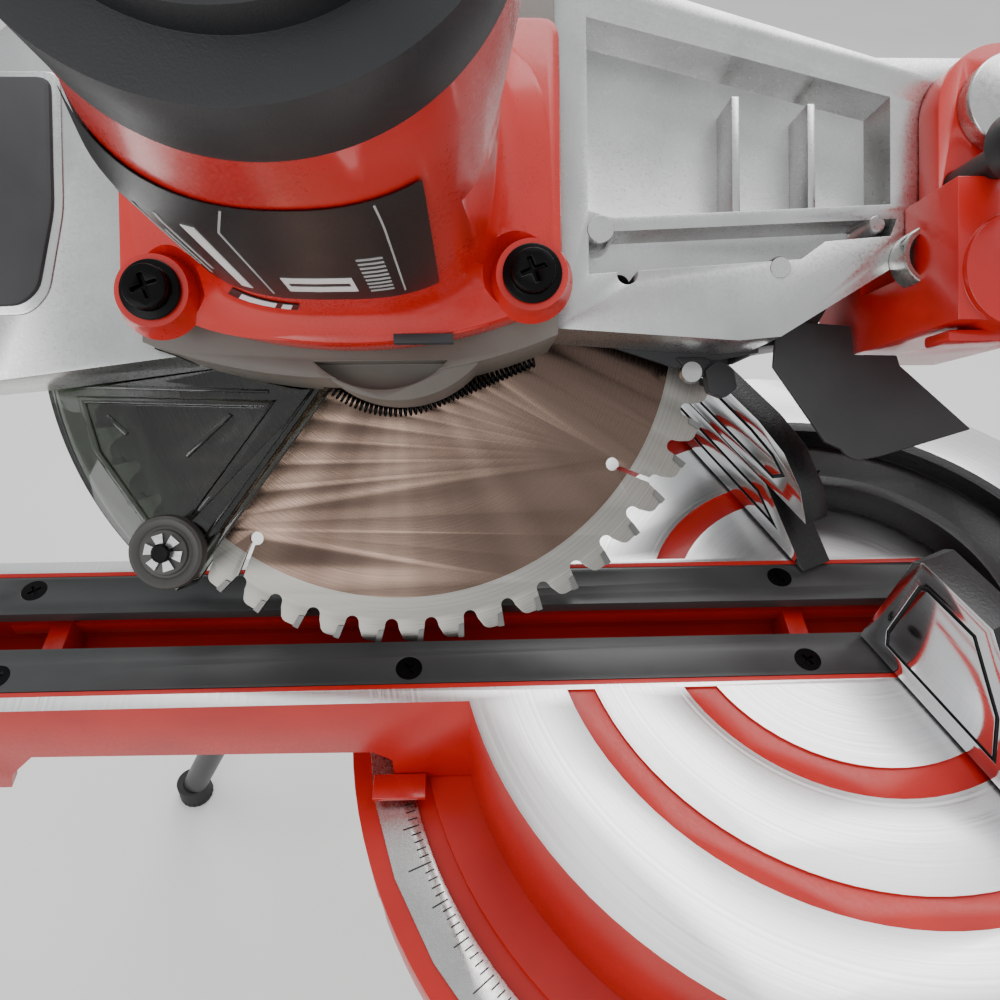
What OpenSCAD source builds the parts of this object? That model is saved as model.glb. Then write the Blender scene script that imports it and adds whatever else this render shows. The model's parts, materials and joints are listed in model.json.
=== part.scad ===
// Sliding compound mitre saw on a folding stand.
// Frame: X along the fence and the stand, -Y towards the user, +Z up, origin on the floor
// under the middle of the stand.

/* [Blade] */
// Blade diameter
blade_d = 210; // [180:1:255]
// Number of teeth
teeth = 48; // [24:1:60]
// Thickness of the blade's plate
plate_t = 1.8; // [1.4:0.1:2.2]
// Width of cut, across the carbide tips
cut_t = 2.8; // [2.4:0.1:3.2]
// Bore of the blade
blade_bore = 30; // [20:1:32]
// How far the lowered blade reaches below the table top
blade_dip = 6.3; // [4:0.1:9]

/* [Setting] */
// Mitre angle to the left as the saw stands
mitre = 22.5; // [0:0.5:40]
// Bevel angle to the left as the saw stands
bevel = 45; // [0:1:45]
// Blade centre in front of the fence as the saw stands
pulled_out = 146; // [120:1:190]

/* [Table] */
// Height of the table top above the floor
table_z = 865; // [700:1:1100]
// Radius of the turntable's disc
disc_r = 128; // [118:1:150]
// Width of the turntable's front arm
arm_w = 58; // [54:1:70]
// Length of the front arm from the turntable's centre
arm_len = 304; // [290:1:360]
// Depth of the turntable casting
turn_h = 50; // [44:1:60]
// Width of the kerf slot between the two kerf plates
slot_w = 13.8; // [12:0.2:17]
// Width across both kerf plates
plates_w = 44.6; // [42:0.2:50]
// Thickness of a kerf plate
kerf_plate_t = 4; // [3:0.5:5]

/* [Base and fence] */
// Length of the base casting and the fence
base_w = 460; // [400:1:560]
// Height of the base casting
base_h = 75; // [68:1:90]
// Thickness of the fence
fence_t = 12; // [10:1:14]
// Height of the fence beside the blade
fence_h = 44; // [40:1:48]
// Inner radius of the fence's bridge round the blade
bridge_r = 50; // [48:1:54]

/* [Slide rails] */
// Radius of a slide rail
rail_r = 12.5; // [9:0.5:14]
// Length of the slide rails
rail_len = 300; // [290:1:400]
// Distance between the slide rails
rail_gap = 50; // [48:1:54]

/* [Stand] */
// Length of the stand's main beams
beam_len = 900; // [820:1:1200]
// Outside size of a beam's square tube
beam_size = 35; // [30:1:40]
// Wall of a beam's tube
beam_wall = 2; // [1.5:0.5:2.5]
// Distance between the two beams
beam_gap = 160; // [140:1:180]
// Radius of a leg's round tube
leg_r = 15; // [12:0.5:16]
// Wall of a leg's tube
leg_wall = 1.5; // [1:0.5:3]
// Distance between the feet, front to back
foot_spread = 690; // [640:1:800]
// How far each roller stand reaches beyond the beam, closed
reach = 150; // [130:1:260]

/* [Hidden] */
$fn = 64;

// Clearances
run = 0.05;
gap = 0.4;

// Turntable and table
blade_r = blade_d / 2;
table_y = -15;
arm_nose = 9;
slot_front = arm_len - arm_nose;
slot_back = 104;
plate_seat = plates_w / 2 + 0.3;
channel_w = 24;
channel_d = 21;
arm_wall = 5;
opening_top = 31.5;
opening_y = -disc_r - 23;
rear_lug_y = disc_r + 22;
rear_lug_w = 56;
barrel_r = 26;
hub_r = 20;
rod_z = -42;

// Blade and head, in the blade's own plane: y along the kerf, z up the blade, x along the arbor
arbor_v = blade_r - blade_dip;
guard_r = blade_r + 5.5;
hood_r = guard_r + 5;
chop_y = blade_r + 65;
chop_v = 48;
boss_r = 19.6;
gear_m = 1;
gear_teeth = 42;
pinion_teeth = 11;
gear_dist = gear_m * (gear_teeth + pinion_teeth) / 2;
motor_angle = 100;
motor_y = gear_dist * cos(motor_angle);
motor_v = gear_dist * sin(motor_angle);
motor_r = 36;
arm_x0 = 12;
arm_x1 = 38;
case_x = 18.3;
flange_x = 48;
motor_x = 60;
motor_end = 160;
roller_at = blade_r - 4.5;
roller_angle = 226;
roller_r = 11.4;

// Carriage and bevel arm, y from the kerf's centre
bracket_back = chop_y + 20;
column_y0 = rear_lug_y + 23;
column_y1 = column_y0 + 58;
rail_v = arbor_v + 4;
rail_x = 22;
bearing_w = 22;
rail_y0 = chop_y - pulled_out - 4;

// Base
floor_z = -turn_h - 0.5;
wing_y0 = -58;
wing_y1 = 45;
foot_x = (disc_r + base_w / 2 - 18) / 2;
lug_y = [-42, 60];

// Stand
beam_top = table_z - base_h - 25;
beam_z = beam_top - beam_size / 2;
beam_y = beam_gap / 2;
slider = beam_size - 2 * beam_wall - 1;
pivot_x = beam_len / 2 - 90;
pivot_z = [beam_top - beam_size - leg_r - 14, beam_top - beam_size - leg_r - 62];
leg_splay = 12;
foot_h = 18;
post_x = beam_len / 2 + reach;
roller_len = 300;
roller_z_r = 17;
knob_x = beam_len / 2 - 30;

// Placing
module at_table() translate([0, table_y, table_z]) children();
module at_turn() at_table() rotate([0, 0, -mitre]) children();
module at_bevel() at_turn() rotate([0, -bevel, 0]) children();
module at_head() at_bevel() translate([0, -pulled_out, arbor_v]) children();

// Shapes
module block(a, b) translate(a) cube(b - a);
module rod(p, q, r) {
  d = q - p;
  len = norm(d);
  translate(p)
    rotate([0, acos(d[2] / len), atan2(d[1], d[0])])
      cylinder(r = r, h = len);
}
// A cylinder along X whose centre line passes through (y, z)
module shaft_x(y, z, x0, x1, r) translate([x0, y, z]) rotate([0, 90, 0]) cylinder(r = r, h = x1 - x0);
module shaft_y(x, z, y0, y1, r) translate([x, y1, z]) rotate([90, 0, 0]) cylinder(r = r, h = y1 - y0);
// Extrudes an outline drawn in (y, z) along X
module slab_x(x0, x1) translate([x0, 0, 0]) rotate([90, 0, 90]) linear_extrude(x1 - x0) children();
// Extrudes an outline drawn in (x, z) along Y
module slab_y(y0, y1) translate([0, y1, 0]) rotate([90, 0, 0]) linear_extrude(y1 - y0) children();
module ring(r1, r0, h) difference() {
  cylinder(r = r1, h = h);
  translate([0, 0, -1]) cylinder(r = r0, h = h + 2);
}
// A pie slice from angle a0 to a1
module slice(r, a0, a1, steps = 12)
  polygon(concat([[0, 0]], [for (i = [0:steps]) let(a = a0 + (a1 - a0) * i / steps) r * [cos(a), sin(a)]]));
module square_tube(x0, x1, y, z, size, wall) difference() {
  block([x0, y - size / 2, z - size / 2], [x1, y + size / 2, z + size / 2]);
  block([x0 - 1, y - size / 2 + wall, z - size / 2 + wall], [x1 + 1, y + size / 2 - wall, z + size / 2 - wall]);
}
// A lobed clamping knob on the Z axis
module knob(r, h, lobes = 6) difference() {
  cylinder(r = r, h = h);
  for (i = [0:lobes - 1])
    rotate(i * 360 / lobes) translate([r * 1.12, 0, -1]) cylinder(r = r * 0.26, h = h + 2);
}
// A bolt with a washer, head up on the Z axis, shank down
module bolt(head_r, head_h, shank_r, shank_l) {
  cylinder(r = head_r, h = head_h, $fn = 6);
  translate([0, 0, -shank_l]) cylinder(r = shank_r, h = shank_l);
}

// --- Stand ---
module stand_beams() color("dimgray") difference() {
  union() {
    for (s = [-1, 1]) square_tube(-beam_len / 2, beam_len / 2, s * beam_y, beam_z, beam_size, beam_wall);
    // Cross members, welded between the beams
    for (x = [-1, 1] * (pivot_x + 50))
      block([x - 12, -beam_y + beam_size / 2, beam_z - 12], [x + 12, beam_y - beam_size / 2, beam_z + 12]);
    // Hinge ears for the two leg frames
    for (i = [0, 1], s = [-1, 1])
      translate([(i == 0 ? -1 : 1) * pivot_x, 0, 0])
        block([-16, s * beam_y - 3 + s * 7, pivot_z[i] - 16], [16, s * beam_y + 3 + s * 7, beam_top - beam_size]);
  }
  for (i = [0, 1], s = [-1, 1])
    shaft_y((i == 0 ? -1 : 1) * pivot_x, pivot_z[i], s * (beam_y + 7) - 4, s * (beam_y + 7) + 4, 5);
  for (s = [-1, 1])
    translate([s * knob_x, -beam_y, beam_z - beam_size / 2 - 1]) cylinder(r = 4.5, h = beam_wall + 2);
}

bracket_x = foot_x;
module mounting_brackets() color("firebrick") for (s = [-1, 1]) difference() {
  union() {
    block([s * bracket_x - 20, -beam_y - 62, beam_top], [s * bracket_x + 20, beam_y + 32, beam_top + 25]);
    // Hook over the rear beam
    block([s * bracket_x - 20, beam_y + beam_size / 2 + gap, beam_top - 14],
          [s * bracket_x + 20, beam_y + 32, beam_top]);
  }
  // Channel section, open below
  block([s * bracket_x - 16.5, -beam_y - 63, beam_top - 15], [s * bracket_x + 16.5, beam_y + 15, beam_top + 21]);
  for (y = lug_y) translate([s * bracket_x, table_y + y, beam_top]) cylinder(r = 4.5, h = 30);
  shaft_x(-beam_y - 42, beam_top + 10, s * bracket_x - 21, s * bracket_x + 21, 5);
}
// Cam lever of a mounting bracket: clamps the front beam
module bracket_lever(s) color("black") translate([s * bracket_x, -beam_y - 42, beam_top + 10]) {
  rotate([0, 90, 0]) translate([0, 0, -14]) cylinder(r = 9, h = 28);
  shaft_x(0, 0, -24, 24, 5 - run);
  block([-9, -55, -6], [9, -4, 6]);
  shaft_x(-55, 0, -9, 9, 6);
}
module left_bracket_lever() bracket_lever(-1);
module right_bracket_lever() bracket_lever(1);

module saw_mount_bolts() color("silver") at_table() for (s = [-1, 1], y = lug_y) translate([s * foot_x, y, 0]) {
  translate([0, 0, -base_h + 8]) bolt(6.5, 5.5, 4, 20);
  translate([0, 0, -base_h - 10.5]) cylinder(r = 6.5, h = 6.3, $fn = 6);
}

// Leg frame: i is 0 at the left and 1 at the right
function side(i) = i == 0 ? -1 : 1;
function leg_top(i, y) = [side(i) * pivot_x, y * (beam_y - 24), pivot_z[i]];
function leg_foot(i, y) = [side(i) * (pivot_x + tan(leg_splay) * pivot_z[i]), y * foot_spread / 2, foot_h];
function leg_at(i, y, t) = leg_top(i, y) * (1 - t) + leg_foot(i, y) * t;
module leg_tubes(i) color("dimgray") for (y = [-1, 1]) difference() {
  rod(leg_at(i, y, 0.035), leg_at(i, y, 0.985), leg_r);
  rod(leg_at(i, y, 0.02), leg_at(i, y, 0.99), leg_r - leg_wall);
  // Sockets of the two braces
  rod(leg_at(i, -1, brace_t[0]), leg_at(i, 1, brace_t[0]), 10);
  shaft_y(side(i) * pivot_x, pivot_z[i], -beam_y - 30, beam_y + 30, 14);
}
brace_t = [0.62, 0];
module leg_braces(i) color("dimgray") {
  rod(leg_at(i, -1, brace_t[0]), leg_at(i, 1, brace_t[0]), 10);
  // Hinge tube across the top
  difference() {
    shaft_y(side(i) * pivot_x, pivot_z[i], -beam_y + 1, beam_y - 1, 14);
    shaft_y(side(i) * pivot_x, pivot_z[i], -beam_y, beam_y, 5 + run);
  }
}
module leg_feet(i) color("black") for (y = [-1, 1]) difference() {
  translate([leg_foot(i, y)[0], leg_foot(i, y)[1], 0]) {
    cylinder(r = leg_r + 6, h = 8);
    translate([0, 0, 8]) cylinder(r1 = leg_r + 6, r2 = leg_r + 4, h = foot_h + 6);
  }
  // Socket that holds the end of the leg's tube
  rod(leg_at(i, y, 0.9), leg_at(i, y, 0.996), leg_r);
}
module left_leg_tubes() leg_tubes(0);
module right_leg_tubes() leg_tubes(1);
module left_leg_braces() leg_braces(0);
module right_leg_braces() leg_braces(1);
module left_leg_feet() leg_feet(0);
module right_leg_feet() leg_feet(1);
module leg_pivot_bolts() color("silver") for (i = [0, 1], s = [-1, 1]) {
  x = side(i) * pivot_x;
  y0 = beam_y - 40;
  y1 = beam_y + 10;
  shaft_y(x, pivot_z[i], min(s * y0, s * y1), max(s * y0, s * y1), 5);
  translate([x, s * y1, pivot_z[i]]) rotate([-90 * s, 0, 0]) cylinder(r = 8, h = 5, $fn = 6);
}

// Extension with its roller stand
module extension_arm(i) color("dimgray") mirror([i == 0 ? 1 : 0, 0, 0]) {
  for (s = [-1, 1]) square_tube(beam_len / 2 - 290, post_x, s * beam_y, beam_z, slider, beam_wall);
  // Cross member and post
  block([post_x, -beam_y - slider / 2, beam_z - slider / 2], [post_x + slider, beam_y + slider / 2, beam_z + slider / 2]);
  block([post_x + 2, -14, beam_z + slider / 2], [post_x + slider - 2, 14, table_z - 48]);
  // Roller cradle
  block([post_x + 2, -roller_len / 2 - 8, table_z - 48], [post_x + slider - 2, roller_len / 2 + 8, table_z - 42]);
  for (s = [-1, 1]) difference() {
    block([post_x + 2, s * (roller_len / 2 + 5) - 3, table_z - 42], [post_x + slider - 2, s * (roller_len / 2 + 5) + 3, table_z - 8]);
    shaft_y(post_x + slider / 2, table_z - roller_z_r, s * (roller_len / 2 + 5) - 4, s * (roller_len / 2 + 5) + 4, 4);
  }
}
module support_roller(i) color("black") mirror([i == 0 ? 1 : 0, 0, 0]) {
  shaft_y(post_x + slider / 2, table_z - roller_z_r, -roller_len / 2, roller_len / 2, roller_z_r);
  shaft_y(post_x + slider / 2, table_z - roller_z_r, -roller_len / 2 - 10, roller_len / 2 + 10, 4 - run);
}
module extension_knob(i) color("black") translate([side(i) * knob_x, -beam_y, beam_z - beam_size / 2 - 6]) {
  translate([0, 0, -16]) knob(17, 16);
  cylinder(r = 4, h = 6 + beam_wall + 0.2);
}
module left_extension_arm() extension_arm(0);
module right_extension_arm() extension_arm(1);
module left_support_roller() support_roller(0);
module right_support_roller() support_roller(1);
module left_extension_knob() extension_knob(0);
module right_extension_knob() extension_knob(1);

// --- Saw base and fence ---
module saw_base() color("firebrick") at_table() difference() {
  union() {
    base_shell();
    // Bosses of the two clamp sockets
    for (s = [-1, 1]) translate([s * clamp_x, clamp_y, -46]) cylinder(r = 12, h = 40);
  }
  for (s = [-1, 1]) translate([s * clamp_x, clamp_y, -46 - 1]) cylinder(r = 6 + run, h = 60);
}
module base_shell() difference() {
  union() {
    // Wings with the machined table tops
    for (s = [-1, 1])
      block([min(s * 96, s * base_w / 2), wing_y0, -base_h], [max(s * 96, s * base_w / 2), wing_y1, 0]);
    // Round well for the turntable
    translate([0, 0, -base_h]) cylinder(r = disc_r + 14, h = base_h - turn_h + 20);
    // Front apron that carries the mitre scale
    intersection() {
      translate([0, 0, -base_h]) cylinder(r = disc_r + 40, h = base_h - turn_h - 4);
      translate([0, 0, -base_h]) linear_extrude(base_h) slice(disc_r + 60, -152, -28);
    }
    // Pads that the fence is bolted on
    for (x = fence_bolt_x) translate([x, fence_bolt_y, -12]) cylinder(r = 8, h = 12 + fence_z);
    // Lugs for the bolts that hold the saw down
    for (s = [-1, 1], y = lug_y) translate([s * foot_x, y, -base_h]) cylinder(r = 16, h = 8);
    for (s = [-1, 1]) block([s * foot_x - 16, wing_y1 - 5, -base_h], [s * foot_x + 16, lug_y[1], -base_h + 8]);
  }
  // Machined step behind the table's front land, with a pad under each fence bolt
  for (s = [-1, 1]) difference() {
    block([min(s * 90, s * (base_w / 2 + 1)), -0.5, -0.8], [max(s * 90, s * (base_w / 2 + 1)), wing_y1 + 1, 2]);
    for (x = fence_bolt_x) translate([x, fence_bolt_y, -2]) cylinder(r = 8, h = 2 + fence_z);
  }
  translate([0, 0, floor_z]) cylinder(r = disc_r + 1, h = 100);
  translate([0, 0, -base_h - 1]) cylinder(r = disc_r - 8, h = base_h - turn_h - 10);
  // Clearance for the arm's path and for the rear lug
  difference() {
    translate([0, 0, floor_z]) cylinder(r = disc_r + 60, h = 100);
    for (s = [-1, 1]) block([min(s * 96, s * 400), wing_y0, -200], [max(s * 96, s * 400), wing_y1, 200]);
  }
  // Hollow wings, open below
  for (s = [-1, 1])
    block([min(s * (disc_r + 22), s * (base_w / 2 - 6)), wing_y0 + 6, -base_h - 1],
          [max(s * (disc_r + 22), s * (base_w / 2 - 6)), wing_y1 - 6, -8]);
  translate([0, 0, -base_h - 1]) cylinder(r = hub_r + run, h = base_h);
  for (s = [-1, 1], y = lug_y) translate([s * foot_x, y, -base_h - 1]) cylinder(r = 4.5, h = 12);
  // Mitre detents in the apron's rim
  for (a = [-45, -30, -22.5, -15, 0, 15, 22.5, 30, 45])
    rotate(a - 90) translate([disc_r + 40, 0, -base_h]) cylinder(r = 4, h = 12);
  // Hand holds in the ends of the base
  for (s = [-1, 1]) translate([s * base_w / 2, (wing_y0 + wing_y1) / 2, -base_h + 22])
    block([-10, -32, -11], [10, 32, 11]);
}
clamp_x = base_w / 2 - 26;
clamp_y = 27;
clamp_reach = 92;
module mitre_scale() color("silver") at_table() translate([0, 0, -turn_h - 4])
  linear_extrude(1.2) difference() {
    slice(disc_r + 34, -150, -30);
    circle(r = disc_r + 20);
  }

function mirror_x(points) = [for (p = points) [-p[0], p[1]]];
fence_low = 18.6;
// Outlines as (x, z) on the fence's face
right_fence = [
  [9.2, 1], [12, fence_h - 2.5], [14.5, fence_h], [40, fence_h], [60, 26],
  [base_w / 2 - 8, 26], [base_w / 2, 18], [base_w / 2, 1]
];
left_fence = [[-19.7, 1], [-47.9, fence_low], [-base_w / 2, fence_low], [-base_w / 2, 1]];
upper_fence = [
  [-26, fence_low + gap], [-33, 28.5], [-45, 36], [-60, 38.5], [-168, 38.5],
  [-176, 32], [-176, fence_low + gap]
];
bridge_w = 35;
module fence() color("silver") at_table() difference() {
  union() {
    slab_y(0, fence_t) polygon(right_fence);
    slab_y(0, fence_t) polygon(left_fence);
    // Foot of the fence behind both halves
    for (s = [-1, 1])
      block([min(s * (bridge_r + 4), s * fence_foot_x), 2, fence_z], [max(s * (bridge_r + 4), s * fence_foot_x), 34, 7]);
    // Stiffening ribs
    for (x = rib_x)
      translate([x - 3, fence_t - 1, 1])
        slab_x(0, 6) polygon([[0, 0], [20, 0], [0, 16]]);
    // Bridge round the blade: a channel with an inner and an outer rim
    translate([0, 0, 1]) intersection() {
      difference() {
        cylinder(r = bridge_r + bridge_w, h = 11, $fn = 96);
        translate([0, 0, -1]) cylinder(r = bridge_r, h = 20, $fn = 96);
        translate([0, 0, 4]) difference() {
          cylinder(r = bridge_r + bridge_w - 5, h = 20, $fn = 96);
          translate([0, 0, -1]) cylinder(r = bridge_r + 5, h = 30, $fn = 96);
        }
      }
      block([-100, fence_t - 1, -1], [100, 100, 20]);
    }
  }
  // Bolt holes down into the base
  for (x = fence_bolt_x) translate([x, fence_bolt_y, -10]) cylinder(r = 3.2, h = 30);
  // Guide slot of the sliding upper fence
  block([-214, fence_t - 5, fence_low - 7], [-100, fence_t - 2, fence_low + 20]);
  // Outline grooves in the machined faces
  slab_y(-1, 0.8) {
    groove([[18, 7], [16, 12], [17, 36], [19.5, 38], [37.5, 38], [55, 21.5], [62, 7]]);
    groove([[68, 7], [68, 20], [214, 20], [214, 7]]);
    groove([[-36, 6], [-50, 13.5], [-214, 13.5], [-214, 6]]);
  }
}
fence_z = 1;
fence_bolt_y = 22;
fence_bolt_x = [-clamp_x + 26, -110, 110, clamp_x - 26];
fence_foot_x = clamp_x - 13;
rib_x = [-150, -95, 95, 150];
// A thin closed line along the points
module groove(points) difference() {
  polygon(points);
  offset(delta = -1.3) polygon(points);
}
module sliding_fence() color("silver") at_table() difference() {
  union() {
    slab_y(0, fence_t - 2.5) polygon(upper_fence);
    // Tongue that runs in the lower fence's guide slot
    block([-150, fence_t - 5 + gap / 2, fence_low - 6.4], [-112, fence_t - 2 - gap / 2, fence_low + 4]);
  }
  translate([knob_at[0], fence_t - 7, knob_at[1]]) rotate([-90, 0, 0]) cylinder(r = 3 + run, h = 10);
  slab_y(-1, 0.8) groove([[-46, 23], [-41, 28], [-49, 32], [-62, 33.5], [-166, 33.5], [-170, 30], [-170, 23]]);
}
module sliding_fence_knob() color("black") at_table()
  translate([knob_at[0], fence_t + gap, knob_at[1]]) rotate([-90, 0, 0]) {
    knob(9, 14, 5);
    translate([0, 0, -7]) cylinder(r = 3, h = 8);
  }
knob_at = [-131, fence_low + 10];

module clamp_post() color("silver") at_table() {
  translate([clamp_x, clamp_y, -36]) cylinder(r = 6, h = 156);
  difference() {
    union() {
      block([clamp_x - 12, clamp_y - clamp_reach - 12, 104], [clamp_x + 12, clamp_y + 12, 116]);
      translate([clamp_x, clamp_y - clamp_reach, 96]) cylinder(r = 12, h = 28);
    }
    translate([clamp_x, clamp_y - clamp_reach, 90]) cylinder(r = 5 + run, h = 40);
  }
}
module clamp_pad() color("black") at_table() translate([clamp_x, clamp_y - clamp_reach, 56]) difference() {
  union() {
    cylinder(r = 15, h = 6);
    cylinder(r = 8, h = 13);
  }
  translate([0, 0, 6]) cylinder(r = 4 + run, h = 20);
}
module clamp_screw() color("silver") at_table() translate([clamp_x, clamp_y - clamp_reach, 62.2]) {
  cylinder(r = 4, h = 10);
  translate([0, 0, 9]) cylinder(r = 5, h = 102);
  translate([0, 0, 110]) knob(18, 15, 5);
}

// --- Turntable ---
module kerf_outline(w, y0, y1) translate([-w / 2, y0]) square([w, y1 - y0]);
module turntable_outline() {
  circle(r = disc_r);
  kerf_outline(arm_w, -arm_len, 0);
  kerf_outline(rear_lug_w, 0, rear_lug_y - 12);
}
module turntable() color("firebrick") at_turn() difference() {
  union() {
    translate([0, 0, -turn_h]) linear_extrude(turn_h) turntable_outline();
    // Ears of the detent lever
    for (s = [-1, 1])
      block([s * 16.8 - 2.2, -arm_len - 13, detent_z - 5], [s * 16.8 + 2.2, -arm_len, detent_z + 5]);
    // Pivot hub in the base
    translate([0, 0, -base_h + 3]) cylinder(r = hub_r, h = base_h - turn_h);
    // Rear lug of the bevel hinge
    shaft_y(0, 0, disc_r - 8, rear_lug_y - gap, barrel_r);
    block([-barrel_r, disc_r - 8, -turn_h], [barrel_r, rear_lug_y - gap, 0]);
  }
  // Hollow under the disc
  difference() {
    translate([0, 0, -turn_h - 1]) cylinder(r = disc_r - 6, h = turn_h - 7);
    translate([0, 0, -turn_h - 2]) cylinder(r = hub_r + 8, h = turn_h + 2);
    block([-channel_w / 2 - 3, -disc_r, -channel_d - 3], [channel_w / 2 + 3, disc_r, 2]);
    block([-4, -disc_r, -turn_h], [4, disc_r, 0]);
  }
  // Hollow under the arm, with the walls left
  block([-arm_w / 2 + arm_wall, -arm_len + 12, -turn_h - 1], [arm_w / 2 - arm_wall, -disc_r - 8, -channel_d - 3]);
  for (s = [-1, 1])
    block([min(s * (channel_w / 2 + 3), s * (arm_w / 2 - arm_wall)), -arm_len + 12, -turn_h - 1],
          [max(s * (channel_w / 2 + 3), s * (arm_w / 2 - arm_wall)), -disc_r - 8, -7]);
  // Openings in the arm's side walls
  for (s = [-1, 1]) mirror([s < 0 ? 1 : 0, 0, 0]) translate([arm_w / 2 - arm_wall - 1, 0, 0])
    slab_x(0, arm_wall + 2) polygon([
      [opening_y, -turn_h - 1], [opening_y, -opening_top - 6], [opening_y - 6, -opening_top], [-arm_len + 37, -opening_top + 2.5],
      [-arm_len + 26, -opening_top - 9.5], [-arm_len + 22, -turn_h - 1]
    ]);
  // Seat of the kerf plates, and the slot below them
  block([-plate_seat, -slot_front - 3, -kerf_plate_t], [plate_seat, slot_back + 3, 1]);
  block([-channel_w / 2, -slot_front, -channel_d], [channel_w / 2, slot_back, 1]);
  // Recessed bands in the table top
  for (r = band_r) difference() {
    translate([0, 0, -1.2]) ring(r[1], r[0], 3);
    kerf_band(plate_seat + 3.2);
  }
  // Mitre lock rod
  shaft_y(0, rod_z, -arm_len - 1, -disc_r + 20, 6 + run);
  // Bevel hinge pin
  shaft_y(0, 0, disc_r + 2, rear_lug_y + 10, 9 + run);
  for (x = [-1, 1], y = plate_screw_y) translate([x * plate_screw_x, y, -14]) cylinder(r = 2.1, h = 20);
  shaft_x(-arm_len - 8, detent_z, -30, 30, 3);
}
detent_z = -9;
band_r = [[54.1, 63.3], [89.5, 97.8]];
module kerf_band(w) block([-w, -disc_r, -3], [w, disc_r, 3]);
plate_screw_x = (slot_w + plates_w) / 4 + 2.2;
plate_screw_y = [24 - slot_front, -143.5, -16, slot_back - 12];
module kerf_plate(s) color("black") at_turn() difference() {
  block([min(s * slot_w / 2, s * plates_w / 2), -slot_front - 2, -kerf_plate_t],
        [max(s * slot_w / 2, s * plates_w / 2), slot_back + 2, 0]);
  for (y = plate_screw_y) translate([s * plate_screw_x, y, -kerf_plate_t - 1]) {
    cylinder(r = 2.3, h = 10);
    translate([0, 0, kerf_plate_t - 1.2]) cylinder(r1 = 2.2, r2 = 4.3, h = 2.2);
  }
}
module kerf_plate_left() kerf_plate(-1);
module kerf_plate_right() kerf_plate(1);
module kerf_plate_screws() color("black") at_turn() for (x = [-1, 1], y = plate_screw_y)
  translate([x * plate_screw_x, y, 0]) difference() {
    union() {
      translate([0, 0, -2.3]) cylinder(r1 = 2.1, r2 = 4.2, h = 2.2);
      translate([0, 0, -12]) cylinder(r = 2.05, h = 11);
    }
    for (a = [0, 90]) rotate(a + 35) block([-2.2, -0.4, -1.2], [2.2, 0.4, 1]);
  }
module mitre_handle() color("black") at_turn() translate([0, 0, rod_z]) {
  rotate([90, 0, 0]) translate([0, 0, arm_len + gap]) {
    cylinder(r = 13, h = 12);
    translate([0, 0, 10]) knob(22, 30, 5);
  }
  shaft_y(0, 0, -arm_len - 12, -disc_r + 16, 6);
}
module detent_lever() color("black") at_turn() translate([0, -arm_len - 8, detent_z]) {
  shaft_x(0, 0, -14, 14, 5);
  shaft_x(0, 0, -19, 19, 3 - run);
  block([-9, -26, -4], [9, 0, 3]);
  shaft_x(-26, -0.5, -9, 9, 3.5);
}
module mitre_pointer() color("red") at_turn()
  block([arm_w / 2 + gap / 2, -disc_r - 30, -turn_h + 1], [arm_w / 2 + 9, -disc_r - 12, -turn_h + 3]);

// --- Bevel arm and carriage, in the frame of the blade's plane ---
module bevel_arm() color("firebrick") at_bevel() difference() {
  union() {
    shaft_y(0, 0, rear_lug_y, column_y0 + 10, barrel_r);
    // Column behind the carriage's path, with the two rail bearings
    slab_y(column_y0, column_y1) polygon([
      [-22, -26], [22, -26], [30, 20], [rail_x + rail_gap / 2 + bearing_w, rail_v - bearing_w - 4],
      [rail_x + rail_gap / 2 + bearing_w, rail_v + bearing_w], [rail_x - rail_gap / 2 - bearing_w, rail_v + bearing_w],
      [rail_x - rail_gap / 2 - bearing_w, rail_v - bearing_w - 4], [-30, 20]
    ]);
  }
  for (s = [-1, 1])
    shaft_y(rail_x + s * rail_gap / 2, rail_v, column_y0 - 1, column_y1 + 1, rail_r + run);
  shaft_y(0, 0, rear_lug_y - 1, column_y1 + 1, 9);
  // Socket of the slide lock knob
  shaft_x(column_y0 + 29, rail_v, rail_x + rail_gap / 2 + rail_r - 2, rail_x + rail_gap / 2 + 40, 4 + run);
  // Weight-saving pockets in the back of the column
  slab_y(column_y1 - 20, column_y1 + 1) polygon([[-14, 20], [14, 20], [24, rail_v - 34], [-24, rail_v - 34]]);
}
module bevel_lock_lever() color("black") at_bevel() {
  shaft_y(0, 0, disc_r + 6, column_y1 + 14, 9 - run);
  shaft_y(0, 0, column_y1 + gap, column_y1 + 16, 15);
  rod([0, column_y1 + 9, 0], [62, column_y1 + 20, -22], 6);
  translate([62, column_y1 + 20, -22]) sphere(r = 10, $fn = 32);
}
module slide_lock_knob() color("black") at_bevel()
  translate([rail_x + rail_gap / 2 + bearing_w + gap, column_y0 + 29, rail_v]) rotate([0, 90, 0]) {
    knob(16, 16);
    translate([0, 0, rail_r + 0.5 - bearing_w - gap]) cylinder(r = 4, h = bearing_w + 3 - rail_r);
  }
module slide_rails() color("silver") at_bevel() for (s = [-1, 1]) difference() {
  shaft_y(rail_x + s * rail_gap / 2, rail_v, rail_y0, rail_y0 + rail_len, rail_r);
  shaft_y(rail_x + s * rail_gap / 2, rail_v, rail_y0 + 30, rail_y0 + rail_len + 1, rail_r - 2.5);
}
module rail_end_cap() color("black") at_bevel() difference() {
  union() {
    for (s = [-1, 1])
      shaft_y(rail_x + s * rail_gap / 2, rail_v, rail_y0 + rail_len, rail_y0 + rail_len + 10, rail_r + 4);
    block([rail_x - rail_gap / 2, rail_y0 + rail_len, rail_v - 9], [rail_x + rail_gap / 2, rail_y0 + rail_len + 10, rail_v + 9]);
  }
}
ear_t = 10;
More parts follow.
